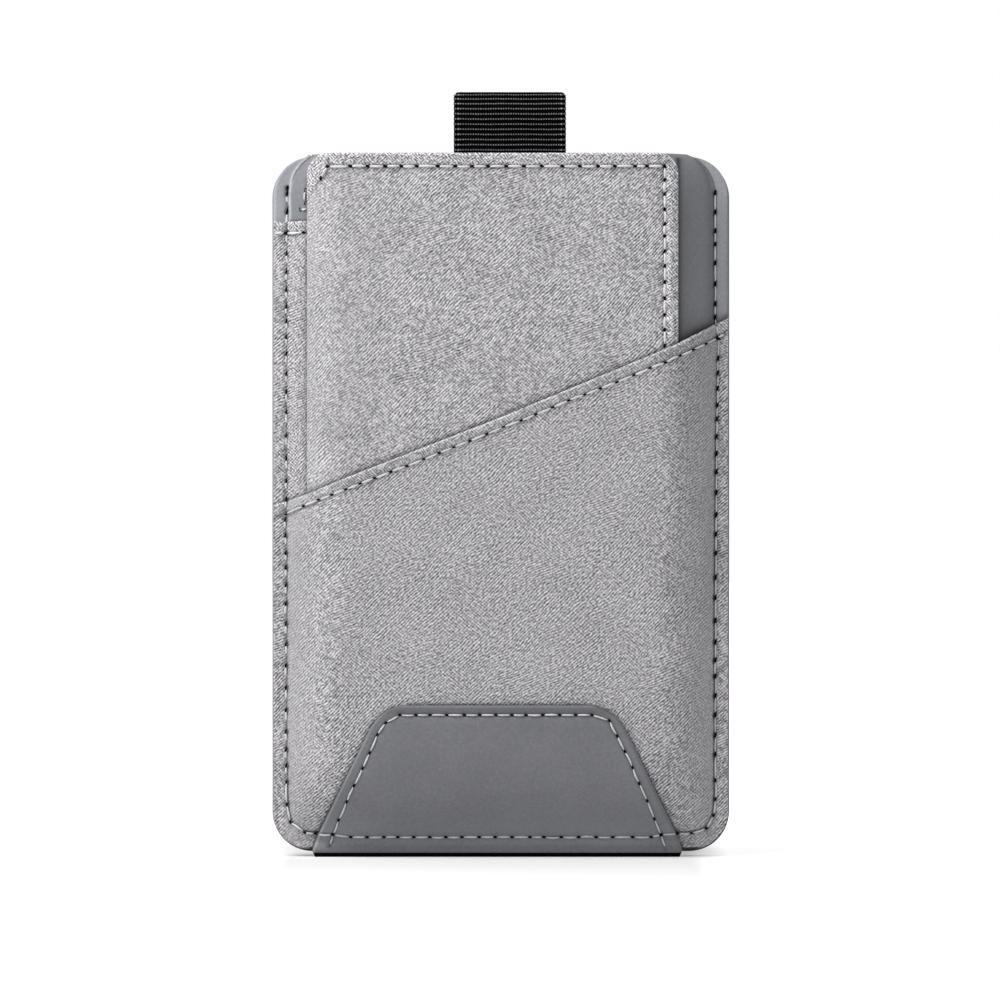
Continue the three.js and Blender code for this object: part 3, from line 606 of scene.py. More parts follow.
# A needle hole is a near-black disc laid just into the sheet: painted shade in place of the hole's dark
# inside.
pit = Finish("needle_hole_shadow", 0.95, 0.0)
pit_tone = pit.blotches(pit.place(), 3.0)
needle_hole = pit.feed(Base_Color=pit.ramp(pit_tone, (0.3, 0.003, 0.003, 0.003), (0.7, 0.008, 0.008, 0.009)))


def joined(pieces, name):
    """Makes one piece of several."""
    bpy.ops.object.select_all(action="DESELECT")
    for piece in pieces:
        piece.select_set(True)
    bpy.context.view_layer.objects.active = pieces[0]
    if len(pieces) > 1:
        bpy.ops.object.join()
    pieces[0].name = pieces[0].data.name = name
    return pieces[0]


def sewn_row(name, holes, seat, nodes, thick, hole=(0.3, 0.17), skip=(), bare=(), pull=None, front=1):
    """A row of stitches: one stitch and one needle hole are modelled, then copied along the seam.
    skip names the gaps without a stitch and bare the ends without a hole. pull gives, for a place, how
    deep the thread sinks below its upper end, its share of the thickness, and how long and how far back
    its hole is drawn."""
    gap, lift = 0.24, 0.1
    bpy.ops.object.select_all(action="DESELECT")
    bpy.ops.mesh.primitive_uv_sphere_add(segments=8, ring_count=6, radius=1)
    stitch = bpy.context.object
    shape = points(stitch.data)
    swing = np.arctan2(shape[:, 1], shape[:, 0])
    length = 1.2 * shape[:, 2] - 0.2 * shape[:, 2] ** 3
    girth = np.sqrt(np.clip(1 - np.abs(length) ** 7, 0, 1)) * (1 + 0.1 * np.cos(2 * swing + 5 * length))
    round_x, round_y = girth * np.cos(swing), girth * np.sin(swing)
    bpy.ops.mesh.primitive_circle_add(vertices=10, radius=1, fill_type="TRIFAN")
    mouth = bpy.context.object
    bowl = points(mouth.data)
    made = []
    jitter = np.random.default_rng(7)

    def copied(model, places, finish):
        piece = model.copy()
        piece.data = model.data.copy()
        placed(piece.data, places[:, 0], 2.975 - places[:, 1], places[:, 2])
        piece.data.materials.append(finish)
        bpy.context.collection.objects.link(piece)
        made.append(piece)

    for number, (start, end) in enumerate(zip(holes, holes[1:])):
        start, end = np.array(start, float), np.array(end, float)
        run = (end - start) / np.linalg.norm(end - start)
        sinking, slimness = pull(*start)[:2] if pull else (0.0, 1.0)
        downward = length if run[1] < 0 else -length
        start, end = start + run * gap, end - run * gap
        if number in skip:
            continue
        along = (length + 1) / 2
        line = start + (end - start) * along[:, None]
        point, normal = seat(line[:, 0], line[:, 1])
        across = np.cross(normal, np.array([run[0], 0, run[1]]))
        across /= np.linalg.norm(across, axis=1)[:, None]
        radius = thick / 2 * slimness * (1 + 0.08 * jitter.standard_normal())
        rise = radius * 0.55 + lift * (1 - np.abs(length) ** 2.2) - 0.16 * np.abs(length) ** 6
        rise = rise - sinking * np.clip((downward + 0.8) / 0.6, 0, 1)
        sway = 0.05 * jitter.standard_normal() * (1 - length**2)
        places = point + normal * (rise + radius * round_y)[:, None]
        copied(stitch, places + across * (sway + radius * round_x)[:, None], bonded_thread)
    for number, centre in enumerate(holes):
        if number in bare:
            continue
        ahead = np.array(holes[min(number + 1, len(holes) - 1)], float)
        behind = np.array(holes[max(number - 1, 0)], float)
        run = (ahead - behind) / np.linalg.norm(ahead - behind)
        slant = math.radians(-12) * front
        turn = np.array([[math.cos(slant), -math.sin(slant)], [math.sin(slant), math.cos(slant)]])
        run = turn @ run
        beside = np.array([run[1], -run[0]]) * front
        drawn, width = bowl[:, :1] * hole[0], bowl[:, 1:2] * hole[1]
        if pull:
            stretch, back = pull(*centre)[2:]
            drawn = drawn * stretch - hole[0] * back
            if back:
                width = width * (0.4 + 0.6 * np.clip((bowl[:, :1] + 1) / 1.6, 0, 1))
        flat = np.array(centre, float) + run * drawn + beside * width
        point, normal = seat(flat[:, 0], flat[:, 1])
        deep = 0.03 - 0.1 * (np.hypot(bowl[:, 0], bowl[:, 1]) < 0.5)
        copied(mouth, point + normal * deep[:, None], needle_hole)
    bpy.data.objects.remove(stitch)
    bpy.data.objects.remove(mouth)
    row = joined(made, name)
    bpy.ops.object.shade_smooth_by_angle(angle=math.radians(60))
    fitted(row, "wallet_body", "thread", *nodes)


def seat_on(face, out):
    """Where thread sits: points in millimetres, and the sheet's normals."""

    def seat(x, z):
        near_x, near_depth, near_z = laid_on(face, x, z, np.full_like(x, out))
        far_x, far_depth, far_z = laid_on(face, x, z, np.full_like(x, out + 1))
        normal = np.stack([far_x - near_x, near_depth - far_depth, far_z - near_z], axis=-1)
        return np.stack([near_x, 2.975 - near_depth, near_z], axis=-1), normal

    return seat


sewn_row(
    "side_hem_stitches", side_hem_holes, seat_on(side_pocket_face, 0.03), ["side_hem_thread"],
    thick=0.36, skip=(2,), bare=(0, 3),
)
corner_holes = [(-28.1, 96.1), (-28.1, 94.3), (-28.85, 93.35), (-27.6, 93.4)]
sewn_row(
    "pocket_corner_stitches", corner_holes, seat_on(main_pocket_face, 0.02), [],
    thick=0.3, hole=(0.36, 0.16), skip=(1,),
)

# Pull strap
# One length of black grosgrain, 16 mm wide and 0.55 mm thick, runs down in front, turns under the cards
# and comes up to the box stitch at the back. Its free end is folded over double and makes the pull tab.


def webbing_finish():
    web = Finish("black_grosgrain", 0.95, 0.03)
    ribs = web.node("UVMap", uv_map="UVMap").outputs["UV"]
    spots = web.node("Mapping", {"Vector": ribs, "Scale": (1, 0.001, 1)}).outputs[0]
    spotted = {"Vector": spots, "Scale": 0.314159 / 0.36, "Distortion": 1.2, "Detail Scale": 1.5}
    beads = web.node("TexWave", spotted).outputs["Fac"]
    apart = web.node("SeparateXYZ", {0: ribs}).outputs
    bars = web.maths("ABSOLUTE", web.maths("COSINE", web.maths("MULTIPLY", apart["Y"], math.pi / 0.74)))
    sideways = web.maths("ABSOLUTE", apart["X"])
    selvedge = web.maths("MULTIPLY", web.span(sideways, 7.15, 7.3), web.span(sideways, 7.42, 7.55, 1.0, 0.0))
    fuzz = web.blotches(web.place(), 2.6, 3.0, 0.7)
    height = web.maths("MULTIPLY", web.blended(0.5, bars, beads), web.blended(0.3, 1.0, fuzz))
    broken = web.blended(0.65, 1.0, web.maths("MULTIPLY", beads, web.maths("ADD", fuzz, 0.4)))
    # The rib crests are coloured much lighter than the near-black grooves: partly lighter weft floats, partly
    # a painted highlight where the crests catch the light; the selvedges get lighter specks.
    tone = web.maths("MULTIPLY", web.maths("POWER", bars, 7.0), broken)
    knots = web.maths("MULTIPLY", selvedge, web.maths("POWER", bars, 5.0))
    tone = web.maths("ADD", tone, web.maths("MULTIPLY", knots, 0.5))
    colour = web.ramp(tone, (0.0, 0.001, 0.001, 0.001), (0.35, 0.006, 0.006, 0.006), (1.0, 0.31, 0.31, 0.31))
    return web.feed(Base_Color=colour, Normal=web.relief(height, 0.1, 0.7))


black_grosgrain = webbing_finish()


def webbing(name, path, crown=None):
    """Ribbed webbing along a path of (height, depth, normal height, normal depth, length) stations."""
    across = both_sides(stations(0, (7.2, 0.4), (8.0, 0.12)))
    height, depth, up, forward, length = [np.array(row)[:, None] for row in zip(*path)]
    wave = 0.02 * np.sin(across[None, :] * 0.8 + length * 0.5)
    wave = wave + 0.01 * np.sin(across[None, :] * 3.1 + length * 3)
    rib = np.abs(np.cos((length + wave) * math.pi / 0.74)) ** 0.7
    selvedge = np.clip((np.abs(across) - 7.55) / 0.45, 0, 1)[None, :]
    out = 0.1 * (rib - 1) - 0.16 * selvedge**2
    scallop = 1 + 0.006 * np.cos(length * 2 * math.pi / 0.74) * (np.abs(across) > 7.6)[None, :]
    if crown is not None:
        scallop = scallop - 0.04 * np.clip((height - crown + 0.6) / 0.6, 0, 1) ** 2
    x = 1.3 + across[None, :] * scallop + 0 * length
    sheet = draped_sheet(name, x, depth + forward * out, height + up * out)
    layer = sheet.data.uv_layers.active or sheet.data.uv_layers.new(name="UVMap")
    layer.name = "UVMap"
    corners = np.empty(len(sheet.data.loops), np.int32)
    sheet.data.loops.foreach_get("vertex_index", corners)
    flat = np.stack([np.broadcast_to(across, x.shape), np.broadcast_to(length + wave, x.shape)], axis=-1)
    layer.data.foreach_set("uv", flat.reshape(-1, 2)[corners].astype(np.float32).ravel())
    return thickened(sheet, 0.44, 0.1, black_grosgrain)


def straight(start, end, depth, forward):
    return [(height, depth, 0, forward, abs(height - start)) for height in stations(start, (end, 0.105))]


def turned(height, depth, radius):
    """Stations round the half turn under the cards, from its rear end to its front end."""
    path = []
    for angle in np.linspace(-math.pi, 0, 19):
        up, forward = math.sin(angle), math.cos(angle)
        length = radius * abs(angle + math.pi)
        path.append((height + radius * up, depth + radius * forward, up, forward, length))
    return path


def traced(line):
    """Stations along a line of (height, depth) points, with the normal to its left and the length so far."""
    line = np.array(line)
    lean = np.gradient(line, axis=0)
    lean /= np.hypot(lean[:, 0], lean[:, 1])[:, None]
    lengths = np.concatenate([[0.0], np.cumsum(np.hypot(*np.diff(line, axis=0).T))])
    return [(h, d, -slope, rise, s) for (h, d), (rise, slope), s in zip(line, lean, lengths)]


rear_face, front_face, turn_radius = 8.1, 9.75, 0.825
turn_depth = (rear_face + front_face) / 2
fold_height, fold_depth, fold_rise, fold_swell, fold_foot = 106.9, 8.8, 3.1, 1.6, 103.0


def eased(share):
    return 3 * share**2 - 2 * share**3


def leg_into_fold(face, fold_face):
    """Heights and depths along one leg of the tab, which swings out into the fold at its top."""
    swing = fold_height - fold_foot
    swinging = fold_foot + np.linspace(0, 1, 38) * swing
    heights = np.concatenate([stations(87.04, (fold_foot, 0.105))[:-1], swinging])
    share = np.clip((heights - fold_foot) / swing, 0, 1)
    return list(zip(heights, face + (fold_face - face) * eased(share)))


front_leg = leg_into_fold(front_face, fold_depth + fold_swell)
over = [
    (fold_height + fold_rise * math.sin(angle), fold_depth + fold_swell * math.cos(angle))
    for angle in np.linspace(0, math.pi, 75)[1:-1]
]
down = leg_into_fold(rear_face, fold_depth - fold_swell)[::-1]
tab_path = traced(front_leg + over + down)
first_rib = max(tab_path)[4] - 0.95
tab_path = [(*station, length - first_rib) for *station, length in tab_path]
tab = webbing("pull_tab_webbing", tab_path, crown=110)
fitted(tab, "tab", "webbing", "pull_tab")

leg = webbing("pull_strap_front_webbing", straight(14.45, 86.88, front_face, 1))
fitted(leg, "tab", "webbing", "pull_strap_front")
loop = webbing("pull_strap_loop_webbing", turned(14.325, turn_depth, turn_radius))
fitted(loop, "strap_turn", "webbing", "pull_strap_loop")
rear = webbing("pull_strap_rear_webbing", straight(61.98, 14.45, rear_face, -1))
fitted(rear, "wallet_body", "webbing", "pull_strap_rear")
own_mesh(rear)


def satin(name, bars, depth, node, body):
    """Close zigzag stitches laid over each bar, given as (x, z, length, width, turn)."""
    made = []
    for x, z, length, width, turn in bars:
        bpy.ops.object.select_all(action="DESELECT")
        bpy.ops.mesh.primitive_grid_add(x_subdivisions=round(length / 0.09), y_subdivisions=6, size=1)
        bar = bpy.context.object
        places = points(bar.data)
        zigzag = 0.03 * np.cos(places[:, 0] * length / 0.36 * 2 * math.pi)
        ridge = 0.09 * np.sqrt(1 - (2 * places[:, 1]) ** 2 * 0.9) + zigzag
        local_x, local_z = places[:, 0] * length, places[:, 1] * width
        turned_x = local_x * math.cos(turn) - local_z * math.sin(turn)
        turned_z = local_x * math.sin(turn) + local_z * math.cos(turn)
        placed(bar.data, x + turned_x, depth + ridge, z + turned_z)
        bar.data.materials.append(bonded_thread)
        made.append(bar)
    fitted(thickened(joined(made, name), 0.06, 0), body, "thread", node)


satin("tab_tack_stitches", [(1.3, 89.3, 12.8, 1.5, 0.0)], 9.84, "tab_bar_tack", "tab")
box_bars = [
    (1.3, 60.1, 12.8, 0.7, 0), (1.3, 55.9, 12.8, 0.7, 0), (-4.8, 58, 4.8, 0.7, math.pi / 2),
    (7.4, 58, 4.8, 0.7, math.pi / 2), (1.3, 58, 12.6, 0.6, 0.33), (1.3, 58, 12.6, 0.6, -0.33),
]
satin("strap_anchor_stitches", box_bars, 8.72, "strap_anchor_tack", "wallet_body")

# Centre panel and its lining
# A wide cloth panel over the strap, held by the front pocket's seam below. Its left side is a soft fold;
# the top and the right side are turned in and sewn 1.9 mm from the edge. A thin lining backs it.


def front_pocket_inset(x, z):
    """Inset in the front mould, which rises more slowly from the foot than from the sides."""
    foot = z - 1
    return ring_inset(x, 1 + np.where(foot > 2.21, 2.21 + (foot - 2.21) * 0.64, foot))


front_mould = (2.21, 4.35, 11.8, 9.0, 2.4)


def front_pocket_face(x, z):
    return moulded(front_pocket_inset(x, z), *front_mould)


insets = stations(0, (40, 0.05))
over_depths = moulded(insets, *front_mould)
slope = np.gradient(over_depths, insets)
steep = np.sqrt(1 + slope**2)
under_insets, under_depths = insets + slope / steep * 0.5, over_depths - 0.5 / steep


def centre_panel_face(x, z):
    """The underside of the front pocket's cloth, less a gap."""
    return np.interp(front_pocket_inset(x, z), under_insets, under_depths) - 0.35


panel_left, panel_right, panel_width, panel_top = -27.8, 25.4, 53.2, 101.2
columns = stations(
    panel_left, (-27.2, 0.06), (-26, 0.2), (-20, 0.4), (22.6, 0.55), (24.4, 0.1), (24.9, 0.15),
    (panel_right, 0.05),
)
heights = stations(11.4, (40, 2.0), (97, 0.42), (99.9, 0.2), (100.7, 0.12), (panel_top, 0.05))
z, x = np.meshgrid(heights, columns, indexing="ij")
from_top = panel_top - z
left_cut, right_cut = rounded_over(from_top, 2.9), rounded_over(from_top, 2.8)
x = panel_left + left_cut + (x - panel_left) / panel_width * (panel_width - left_cut - right_cut)
from_right, from_left = panel_right - right_cut - x, x - panel_left - left_cut
from_corner_stitch = 1.9 + (x + 24.7) * 0.832 - (z - 99.2) * 0.555
from_edge = np.minimum(np.minimum(from_top, from_right), np.maximum(from_corner_stitch, 0.4))
centre_top_holes = [
    (place, 99.25)
    for place in (
        -24.7, -21.5, -19.0, -16.5, -14.2, -12.0, -9.0, -6.5, -4.1, -1.8, 0.8, 3.3, 5.9, 8.8, 11.3, 13.9,
        16.3, 19.2, 20.9, 23.4,
    )
]
centre_side_holes = [
    (23.4, height)
    for height in (97.3, 95.3, 93.1, 91.0, 89.3, 87.1, 85.0, 82.7, 80.4, 78.0, 75.9, 73.6)
]
corner_stitch = [(-25.7, 97.6), (-24.7, 99.25)]
hem = on_hem(from_edge, 1.95)
out = hem_fold(from_edge, 1.85, 0.17) - rounded_over(from_left, 0.75)
# Painted light on the hems, most on the right one where its fold turns away; a darker line near the top right
# corner; painted shade along the stitch lines and above the front pocket's mouth.
tone = hem_shade(from_edge, 1.95) * (1 + 0.6 * bell(from_right, 1.5, 0.5) * (z < 99.4))
tone *= 1 - 0.5 * bell(x, 22.55, 0.1) * (z > 99.4)
tone *= 1 + np.where(from_right < 2, 0.1, 0.04) * hem
for holes in (corner_stitch, centre_top_holes, centre_top_holes[-1:] + centre_side_holes):
    out -= pulled_in(x, z, holes, 0.12, 0.28, 0.16, 0.32, 0.05)
    tone *= seam_tone(x, z, holes, 0.3)
tone *= above_mouth(x, z, 0.6, 0.5)
calm = np.maximum(0.35 * np.clip((1.9 - from_left) / 0.6, 0, 1), 0.2 * np.clip((14 - from_left) / 8, 0, 1))
calm *= from_edge > 1.9
centre_panel = draped_sheet("centre_panel_cloth", x, centre_panel_face(x, z) + out, z)
thickened(centre_panel, 0.46, 0.1, woven_cloth, woven_cloth, hem=hem, calm=calm, tone=tone)
fitted(centre_panel, "wallet_body", "woven_fabric", "centre_panel")

columns = stations(-26.4, (-20, 0.8), (19, 2.5), (25.1, 0.7))
heights = stations(11.5, (98, 4.0), (100.7, 0.5))
z, x = np.meshgrid(heights, columns, indexing="ij")
x = np.where(x > 20, x - rounded_over(101 - z, 2.4) * (x - 20) / 5.1, x)
centre_lining = draped_sheet("centre_panel_lining_cloth", x, centre_panel_face(x, z) - 0.6, z)
lining_cloth = Finish("taffeta_lining", 0.6, 0.3)
threads = {"Vector": lining_cloth.place(), "Scale": 1.2}
weft, ends = (lining_cloth.node("TexWave", threads, bands_direction=way).outputs["Fac"] for way in "XZ")
plain = lining_cloth.maths("MULTIPLY", weft, ends)
taffeta = lining_cloth.feed(
    Base_Color=lining_cloth.ramp(plain, (0.0, 0.10, 0.10, 0.105), (1.0, 0.2, 0.2, 0.21)),
    Normal=lining_cloth.relief(plain, 0.05, 0.6),
)
thickened(centre_lining, 0.26, 0.06, taffeta, taffeta)
fitted(centre_lining, "wallet_body", "woven_fabric", "centre_panel_lining")

centre_holes = [(-24.8, 101.0), (-24.75, 100.1)] + corner_stitch + centre_top_holes[1:] + centre_side_holes
sewn_row(
    "centre_hem_stitches", centre_holes, seat_on(centre_panel_face, 0.08), ["centre_hem_thread"],
    thick=0.36, hole=(0.34, 0.2), skip=(1,), bare=(0, 1),
)

# Front pocket panel
# The same cloth, moulded over the centre panel and the cards. Its mouth slants from low at the left rim
# to high at the right rim, with a turned hem sewn 1.6 mm below the fold; the rim seam holds the rest.


patch_middle, patch_top, patch_shoulder, shoulder_drop = -0.5, 22.3, 18.44, 3.86


def patch_half_width(z):
    """Half width of the leather patch at a height: slanted sides, and round shoulders at its top."""
    rounding = np.sqrt(np.clip((patch_top - z) / shoulder_drop, 0, 1))
    rounded = rounding**2 * 18.44 + 2 * rounding * (1 - rounding) * 16.55 + (1 - rounding) ** 2 * 12.5
    half = np.where(z > patch_shoulder, rounded, 25.75 - (z - 3.5) * 0.4894)
    return np.where(z < 3.5, np.interp(z, [0.25, 1.2, 3.5], [26.2, 26.6, 25.75]), half)


def outside_patch(x, z):
    """Distance outside the patch's outline."""
    from_middle = np.abs(x - patch_middle)
    beside = (from_middle - patch_half_width(z)) * 0.9
    over = np.hypot(np.maximum(from_middle - 12.5, 0), z - patch_top)
    return np.maximum(np.where(z < patch_top, beside, over), 0)


columns = both_sides(stations(0, (21, 0.5), (29.4, 0.42), (30.3, 0.22), (31.5, 0.1), (flange_half, 0.2)))
edge = front_edge_height(columns)
z = pocket_rows(edge)
x = columns / flange_half * flange_half_width(z, top=200)
below_edge = edge - z
front_hem_holes = [
    (-33.0, 48.4), (-30.9, 49.5), (-28.2, 50.7), (-26.0, 51.6), (-24.1, 52.3), (-22.1, 53.1), (-20.1, 53.9),
    (-18.0, 54.7), (-15.7, 55.6), (-13.4, 56.4), (-11.0, 57.4), (-8.8, 58.3), (-6.7, 59.1), (-4.4, 60.0),
    (-2.0, 61.0), (0.4, 62.0), (2.9, 62.9), (5.0, 63.8), (7.4, 64.8), (9.7, 65.8), (12.0, 66.6), (14.2, 67.5),
    (16.6, 68.4), (19.0, 69.4), (21.3, 70.4), (23.5, 71.2), (25.6, 72.2), (27.5, 73.1), (29.4, 74.0),
    (31.1, 74.9), (33.2, 75.8),
]
out = hem_fold(below_edge, 1.62, 0.17) - pulled_in(x, z, rim_holes, 0.22, 0.3, 0.16, 0.34, 0.05)
out -= pulled_in(x, z, front_hem_holes, 0.12, 0.28, 0.14, 0.32, 0.05)
for side in (-30.8, 30.88):
    out -= 0.12 * bell(x, side, 0.35) * bell(below_edge, 0, 1.5)
hem = on_hem(below_edge, 1.7)
# Painted shade along the rim seam, the hem stitches and below the hem, a painted contact shadow round the
# patch, painted light and shade on the cut edges, and painted light on the right flange; a little darker
# overall and on the hem.
tone = seam_tone(x, z, rim_holes, 0.65, 0.15) * seam_tone(x, z, front_hem_holes, 0.4)
tone *= hem_shade(below_edge, 1.72) * (1 - 0.7 * bell(outside_patch(x, z), 0, 0.22))
tone *= rim_tone(x, z, flange_half - np.abs(x), 0.12, 0.35) * rim_tone(x, z, z - flange_foot, 0.3, 0.9)
tone *= 0.96 * (1 - 0.05 * hem) * (1 + 0.12 * np.clip((x - 30.9) / 0.3, 0, 1))
calm = 0.55 * np.clip((np.abs(x) - 25.5) / 4.5, 0, 1) * (1 - np.clip((np.abs(x) - 30.9) / 0.4, 0, 1))
calm = np.maximum(calm, 0.25 * (below_edge < 1.7))
x, depth, z = laid_on(front_pocket_face, x, z, out)
front_pocket = draped_sheet("front_pocket_cloth", x, depth, z)
thickened(front_pocket, 0.44, 0.1, woven_cloth, woven_cloth, hem=hem, calm=calm, tone=tone)
fitted(front_pocket, "wallet_body", "woven_fabric", "front_pocket_panel")

seen_holes = front_hem_holes[1:-1] + [(32.4, 75.5)]
sewn_row(
    "front_hem_stitches", seen_holes, seat_on(front_pocket_face, 0.07), ["front_hem_thread"],
    thick=0.3, hole=(0.26, 0.15), bare=(len(seen_holes) - 1,),
)

# Leather patch
# A trapezoid of darker grey leather, 0.65 mm, that wraps the foot: sewn round its slanted sides and top
# in front, rolled under as the foot that the wallet stands on, and carried up the back in the same shape.


def patch_face(x, z):
    return moulded(front_pocket_inset(x, z), 2.0, 5.1, 12.55, 9.2, 2.4, ease=0.4)


def shoulder_rows(low, high, count):
    """Heights round the patch's shoulders, closing up towards its top."""
    return patch_top - shoulder_drop * np.linspace(low, high, count) ** 2


quarter = np.linspace(0, math.pi / 2, 5)
rear_rows = [(height, -0.75) for height in shoulder_rows(0, 1, 10)]
rear_rows += [(height, -0.75) for height in stations(patch_shoulder, (0.75, 0.45))[1:]]
rear_rows += [(0.25 + 0.5 * (1 - math.sin(a)), -0.25 - 0.5 * math.cos(a)) for a in quarter[1:]]
under_rows = [(0.25, depth) for depth in stations(-0.25, (5.0, 0.6))[1:]]
toe_rows = [(1.15 - 0.9 * math.cos(a), 5.0 + 0.85 * math.sin(a)) for a in np.linspace(0, 1.5, 14)[1:]]
toe_rows += [(1.09 + 1.31 * share, 5.85 - 0.63 * eased(share)) for share in np.linspace(0, 1, 10)[1:-1]]
plain_rows = np.array(rear_rows + under_rows + toe_rows)
face_rows = np.concatenate([stations(2.4, (4.2, 0.13), (17.9, 0.36)), shoulder_rows(0.98, 0, 14)])
shares = both_sides(stations(0, (0.86, 0.014), (0.97, 0.01), (1.0, 0.005)))
z = np.concatenate([plain_rows[:, 0], face_rows])[:, None] + 0 * shares
half_width = patch_half_width(z)
x = patch_middle + shares * half_width
patch_holes = [
    (-24.6, 1.8), (-24.1, 3.5), (-23.26, 5.7), (-22.05, 8.4), (-20.95, 10.8), (-19.7, 13.3), (-18.7, 15.5),
    (-17.6, 18.1), (-16.4, 19.8),
]
patch_holes += [
    (place, 20.9) for place in (-14.4, -12.1, -10.1, -7.7, -5.2, -3.0, -0.7, 1.6, 3.6, 6.0, 8.4, 10.7, 13.0)
]
patch_holes += [
    (15.5, 20.1), (16.6, 17.9), (17.7, 15.7), (18.8, 13.4), (19.78, 11.1), (20.95, 8.55), (22.02, 5.86),
    (23.04, 3.46), (23.75, 1.4),
]
mirrored_holes = [(2 * patch_middle - place, height) for place, height in patch_holes]


def patch_puff(x, z):
    """The patch bellies a little inside its seam and lies flat outside it."""
    inside = np.minimum(patch_half_width(z) - np.abs(x - patch_middle), patch_top - z) - 1.5
    inside = np.minimum(inside, z - 3.3)
    return 0.14 * np.clip(inside / 1.2, 0, 1) ** 0.7


in_front = np.arange(len(z))[:, None] >= len(plain_rows)
sunk = pulled_in(x, z, patch_holes, 0.14, 0.26, 0.14, 0.3, 0.02)
depth = np.concatenate([plain_rows[:, 1:] + 0 * shares, patch_face(x, z)[len(plain_rows):]])
depth += in_front * (patch_puff(x, z) - pulled_in(x, z, rim_holes, 0.1, 0.3, 0.14, 0.3))
depth -= sunk * (depth > 4.9)
depth += pulled_in(x, z, mirrored_holes, 0.14, 0.26, 0.14, 0.3) * (depth < -0.6)
from_side, from_top = (1 - np.abs(shares)) * half_width * 0.9, patch_top - z
on_face = depth > 4.9
# Painted light and shade on the patch: a highlight line just inside its left side and top, shade along its
# right side; darker along the top rim; painted light lower down, most at 3.5 mm, where the face turns
# downward; painted shade along the seams and along the foot's lower edge.
painted_edge_light = bell(np.minimum(from_side, from_top), 0.2, 0.12) * on_face
tone = 1 + painted_edge_light * np.where((x > 0) & (from_side < from_top), -0.35, 0.8)
tone *= 1 - 0.2 * np.clip((1.6 - from_top) / 0.5, 0, 1)
tone *= 1 + 0.16 * np.clip((19 - z) / 8, 0, 1)
tone *= 1 + 0.3 * bell(z, 3.5, 1.6)
tone *= np.where(on_face, seam_tone(x, z, patch_holes, 0.45), 1.0)
tone *= np.where(in_front, seam_tone(x, z, rim_holes, 0.45), 1.0)
tone *= 1 - 0.38 * np.clip((2.0 - z) / 0.9, 0, 1) * on_face
dark_leather = leather_finish("dark_leather", 0.165, 0.7, 0.5, shaded=True)
dark_edge = painted_edge("patch_edge_paint", 0.04)
# Painted shade: the front of the foot's underside, low against the floor, takes a near-black finish without
# gloss in place of its contact shadow.
contact_shade = Finish("foot_underside_painted_shade", 0.95, 0.0)
shade_blotches = contact_shade.blotches(contact_shade.place(), 1.5, 4.0, 0.6)
contact_shade_colour = contact_shade.ramp(shade_blotches, (0.3, 0.002, 0.002, 0.002), (0.7, 0.006, 0.006, 0.006))
underside_shade = contact_shade.feed(Base_Color=contact_shade_colour, Normal=contact_shade.relief(shade_blotches, 0.05))
patch = draped_sheet("patch_leather", x, depth, z)
thickened(patch, 0.6, 0.16, dark_leather, dark_edge, underside_shade, tone=tone)
middles = np.empty(len(patch.data.polygons) * 3, np.float32)
patch.data.polygons.foreach_get("center", middles)
middles = middles.reshape(-1, 3) * 1000
# Faces low at the front of the foot take the painted contact shade.
for face in np.flatnonzero((middles[:, 2] < 0.62) & (middles[:, 1] < 1.5)):
    patch.data.polygons[int(face)].material_index = 2
fitted(patch, "wallet_body", "dark_leather", "leather_patch")

sewn_row(
    "patch_front_stitches", patch_holes, seat_on(patch_face, 0.0), ["patch_front_thread"],
    thick=0.25, hole=(0.26, 0.16),
)


def back_seat(level):
    """Where thread sits on the flat back."""

    def seat(x, z):
        normal = np.tile([0.0, 1.0, 0.0], (x.size, 1))
        return np.stack([x, np.full_like(x, 2.975 - level), z], axis=-1), normal

    return seat


sewn_row(
    "patch_rear_stitches", mirrored_holes, back_seat(-0.72), ["patch_rear_thread"],
    thick=0.4, hole=(0.34, 0.19), front=-1,
)

# Rim seam
# One seam joins all the plies round the sides and foot, 1.95 mm from the edge, worked through the
# flanges from the front; at the foot it also passes through the patch. Behind, it lies in its groove.


def rim_level(x, z):
    level = np.where(z < side_edge_height(x), side_pocket_face(x, z), main_pocket_face(x, z))
    level = np.where(z < front_edge_height(x), front_pocket_face(x, z), level)
    on_patch = (np.abs(x - patch_middle) < patch_half_width(z)) & (z < patch_top)
    return np.where(on_patch, patch_face(x, z), level) - 0.06


def rim_seat(x, z):
    normal = np.tile([0.0, -1.0, 0.0], (x.size, 1))
    return np.stack([x, 2.975 - rim_level(x, z), z], axis=-1), normal


def rim_pull(x, z):
    """The thread sinks deepest at the left, where its holes are drawn out upwards. It looks thinner at
    the right, and lies on the surface along the foot and round the lower corners."""
    if abs(x) < 30.2 or z < 12:
        return 0.0, 0.76, 0.65, 0.0
    if x > 0:
        return 0.1, 0.62, 1.3, 0.0
    if z > 91.7:
        return 0.62, 1.0, 1.7, 0.8
    return 0.62, 1.0, 0.95, 0.25


sewn_row(
    "rim_seam_stitches", rim_holes, rim_seat, ["rim_seam_front_thread"],
    thick=0.38, hole=(0.42, 0.17), skip=(0,), pull=rim_pull,
)
under_flap = [
    number for number, (x, z) in enumerate(rim_holes) if abs(x - patch_middle) < 26.2 and z < 3.7
]
sewn_row(
    "rim_seam_rear_stitches", rim_holes, back_seat(0.14), ["rim_seam_rear_thread"],
    thick=0.36, skip=[0] + under_flap, front=-1,
)

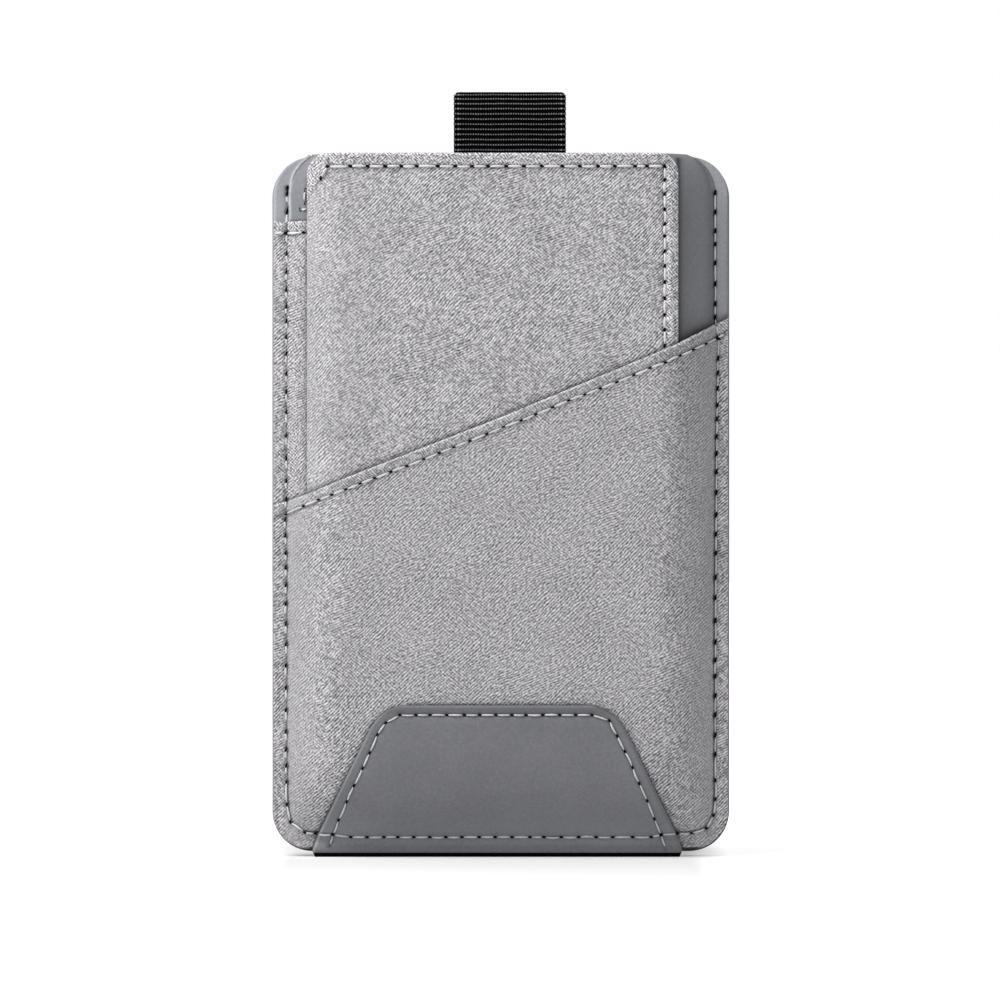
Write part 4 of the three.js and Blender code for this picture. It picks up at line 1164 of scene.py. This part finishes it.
# Studio
# A white floor with a painted glow, a white surround, one soft lamp at the upper left in front, and a weak
# fill.
bpy.ops.mesh.primitive_plane_add(size=6, location=(0, 0, 0))
floor = bpy.context.object
floor.name = "studio_floor"
paper = Finish("floor_paper", 0.9, 0.0)
paper.shader.inputs["Base Color"].default_value = (0.75, 0.75, 0.75, 1)
paper.shader.inputs["Emission Color"].default_value = (1, 1, 1, 1)
rays = paper.node("LightPath")
seen = paper.maths("MAXIMUM", rays.outputs["Is Camera Ray"], rays.outputs["Is Glossy Ray"])
seen = paper.maths("MAXIMUM", seen, rays.outputs["Is Transmission Ray"])
spot = paper.node("TexCoord").outputs["Object"]
apart = paper.node("SeparateXYZ", {0: spot}).outputs
outside = []
for way, foot_half in (("X", 0.0265), ("Y", 0.003)):
    beyond = paper.maths("SUBTRACT", paper.maths("ABSOLUTE", apart[way]), foot_half)
    outside.append(paper.maths("MAXIMUM", beyond, 0.0))
outside = paper.node("CombineXYZ", {0: outside[0], 1: outside[1]}).outputs[0]
outside = paper.node("VectorMath", {0: outside}, operation="LENGTH").outputs["Value"]
# Painted light on the floor: a weaker glow near the foot keeps its contact shadow, and a stronger glow beside
# the wallet, most to the right, paints out the lamp's cast shadow.
glow = paper.span(outside, 0.0, 0.008, 0.3, 0.18)
for value, *reach_and_strength in (
    (outside, 0.02, 0.055, 0.0, 0.12),
    (apart["X"], 0.027, 0.033, 0.0, 0.5),
    (apart["X"], -0.037, -0.03, 0.4, 0.0),
):
    glow = paper.maths("ADD", glow, paper.span(value, *reach_and_strength))
far = paper.node("VectorMath", {0: spot}, operation="LENGTH").outputs["Value"]
glow = paper.blended(paper.span(far, 0.09, 0.3), glow, 1.0)
paper.links.new(paper.maths("MULTIPLY", seen, glow), paper.shader.inputs["Emission Strength"])
floor.data.materials.append(paper.material)


def lamp(name, spot, aim, size, power):
    data = bpy.data.lights.new(name, "AREA")
    data.shape = "RECTANGLE"
    data.size = data.size_y = size
    data.energy = power
    light = bpy.data.objects.new(name, data)
    light.location = spot
    light.rotation_euler = (Vector(aim) - Vector(spot)).to_track_quat("-Z", "Y").to_euler()
    bpy.context.collection.objects.link(light)


lamp("key_softbox", (-0.232, -0.172, 0.348), (0, 0, 0.07), 0.29, 1.64)
lamp("fill_panel", (0.55, -1.3, 0.4), (0, 0, 0.05), 0.9, 1.75)

world = bpy.data.worlds.new("white_surround")
bpy.context.scene.world = world
world.use_nodes = True
sky, wires = world.node_tree.nodes, world.node_tree.links
background = sky["Background"]
background.inputs["Color"].default_value = (1, 1, 1, 1)
rays = sky.new("ShaderNodeLightPath").outputs
seen = rays["Is Camera Ray"]
for kind in ("Is Glossy Ray", "Is Transmission Ray"):
    either = sky.new("ShaderNodeMath")
    either.operation = "MAXIMUM"
    wires.new(seen, either.inputs[0])
    wires.new(rays[kind], either.inputs[1])
    seen = either.outputs[0]
level = sky.new("ShaderNodeMapRange")
level.inputs[3].default_value = 0.4
level.inputs[4].default_value = 1.0
wires.new(seen, level.inputs[0])
wires.new(level.outputs[0], background.inputs["Strength"])

camera_data = bpy.data.cameras.new("camera")
camera = bpy.data.objects.new("camera", camera_data)
camera_data.sensor_width = 36
distance = 0.9
camera_data.lens = 18 / (0.14430 / 2 / distance)
camera_data.clip_start, camera_data.clip_end = 0.05, 50
camera.location = (-0.00011, 0.000875 - distance, 0.05132)
camera.rotation_euler = (math.pi / 2, 0, 0)
bpy.context.collection.objects.link(camera)
bpy.context.scene.camera = camera
bpy.context.scene.view_settings.view_transform = "Standard"
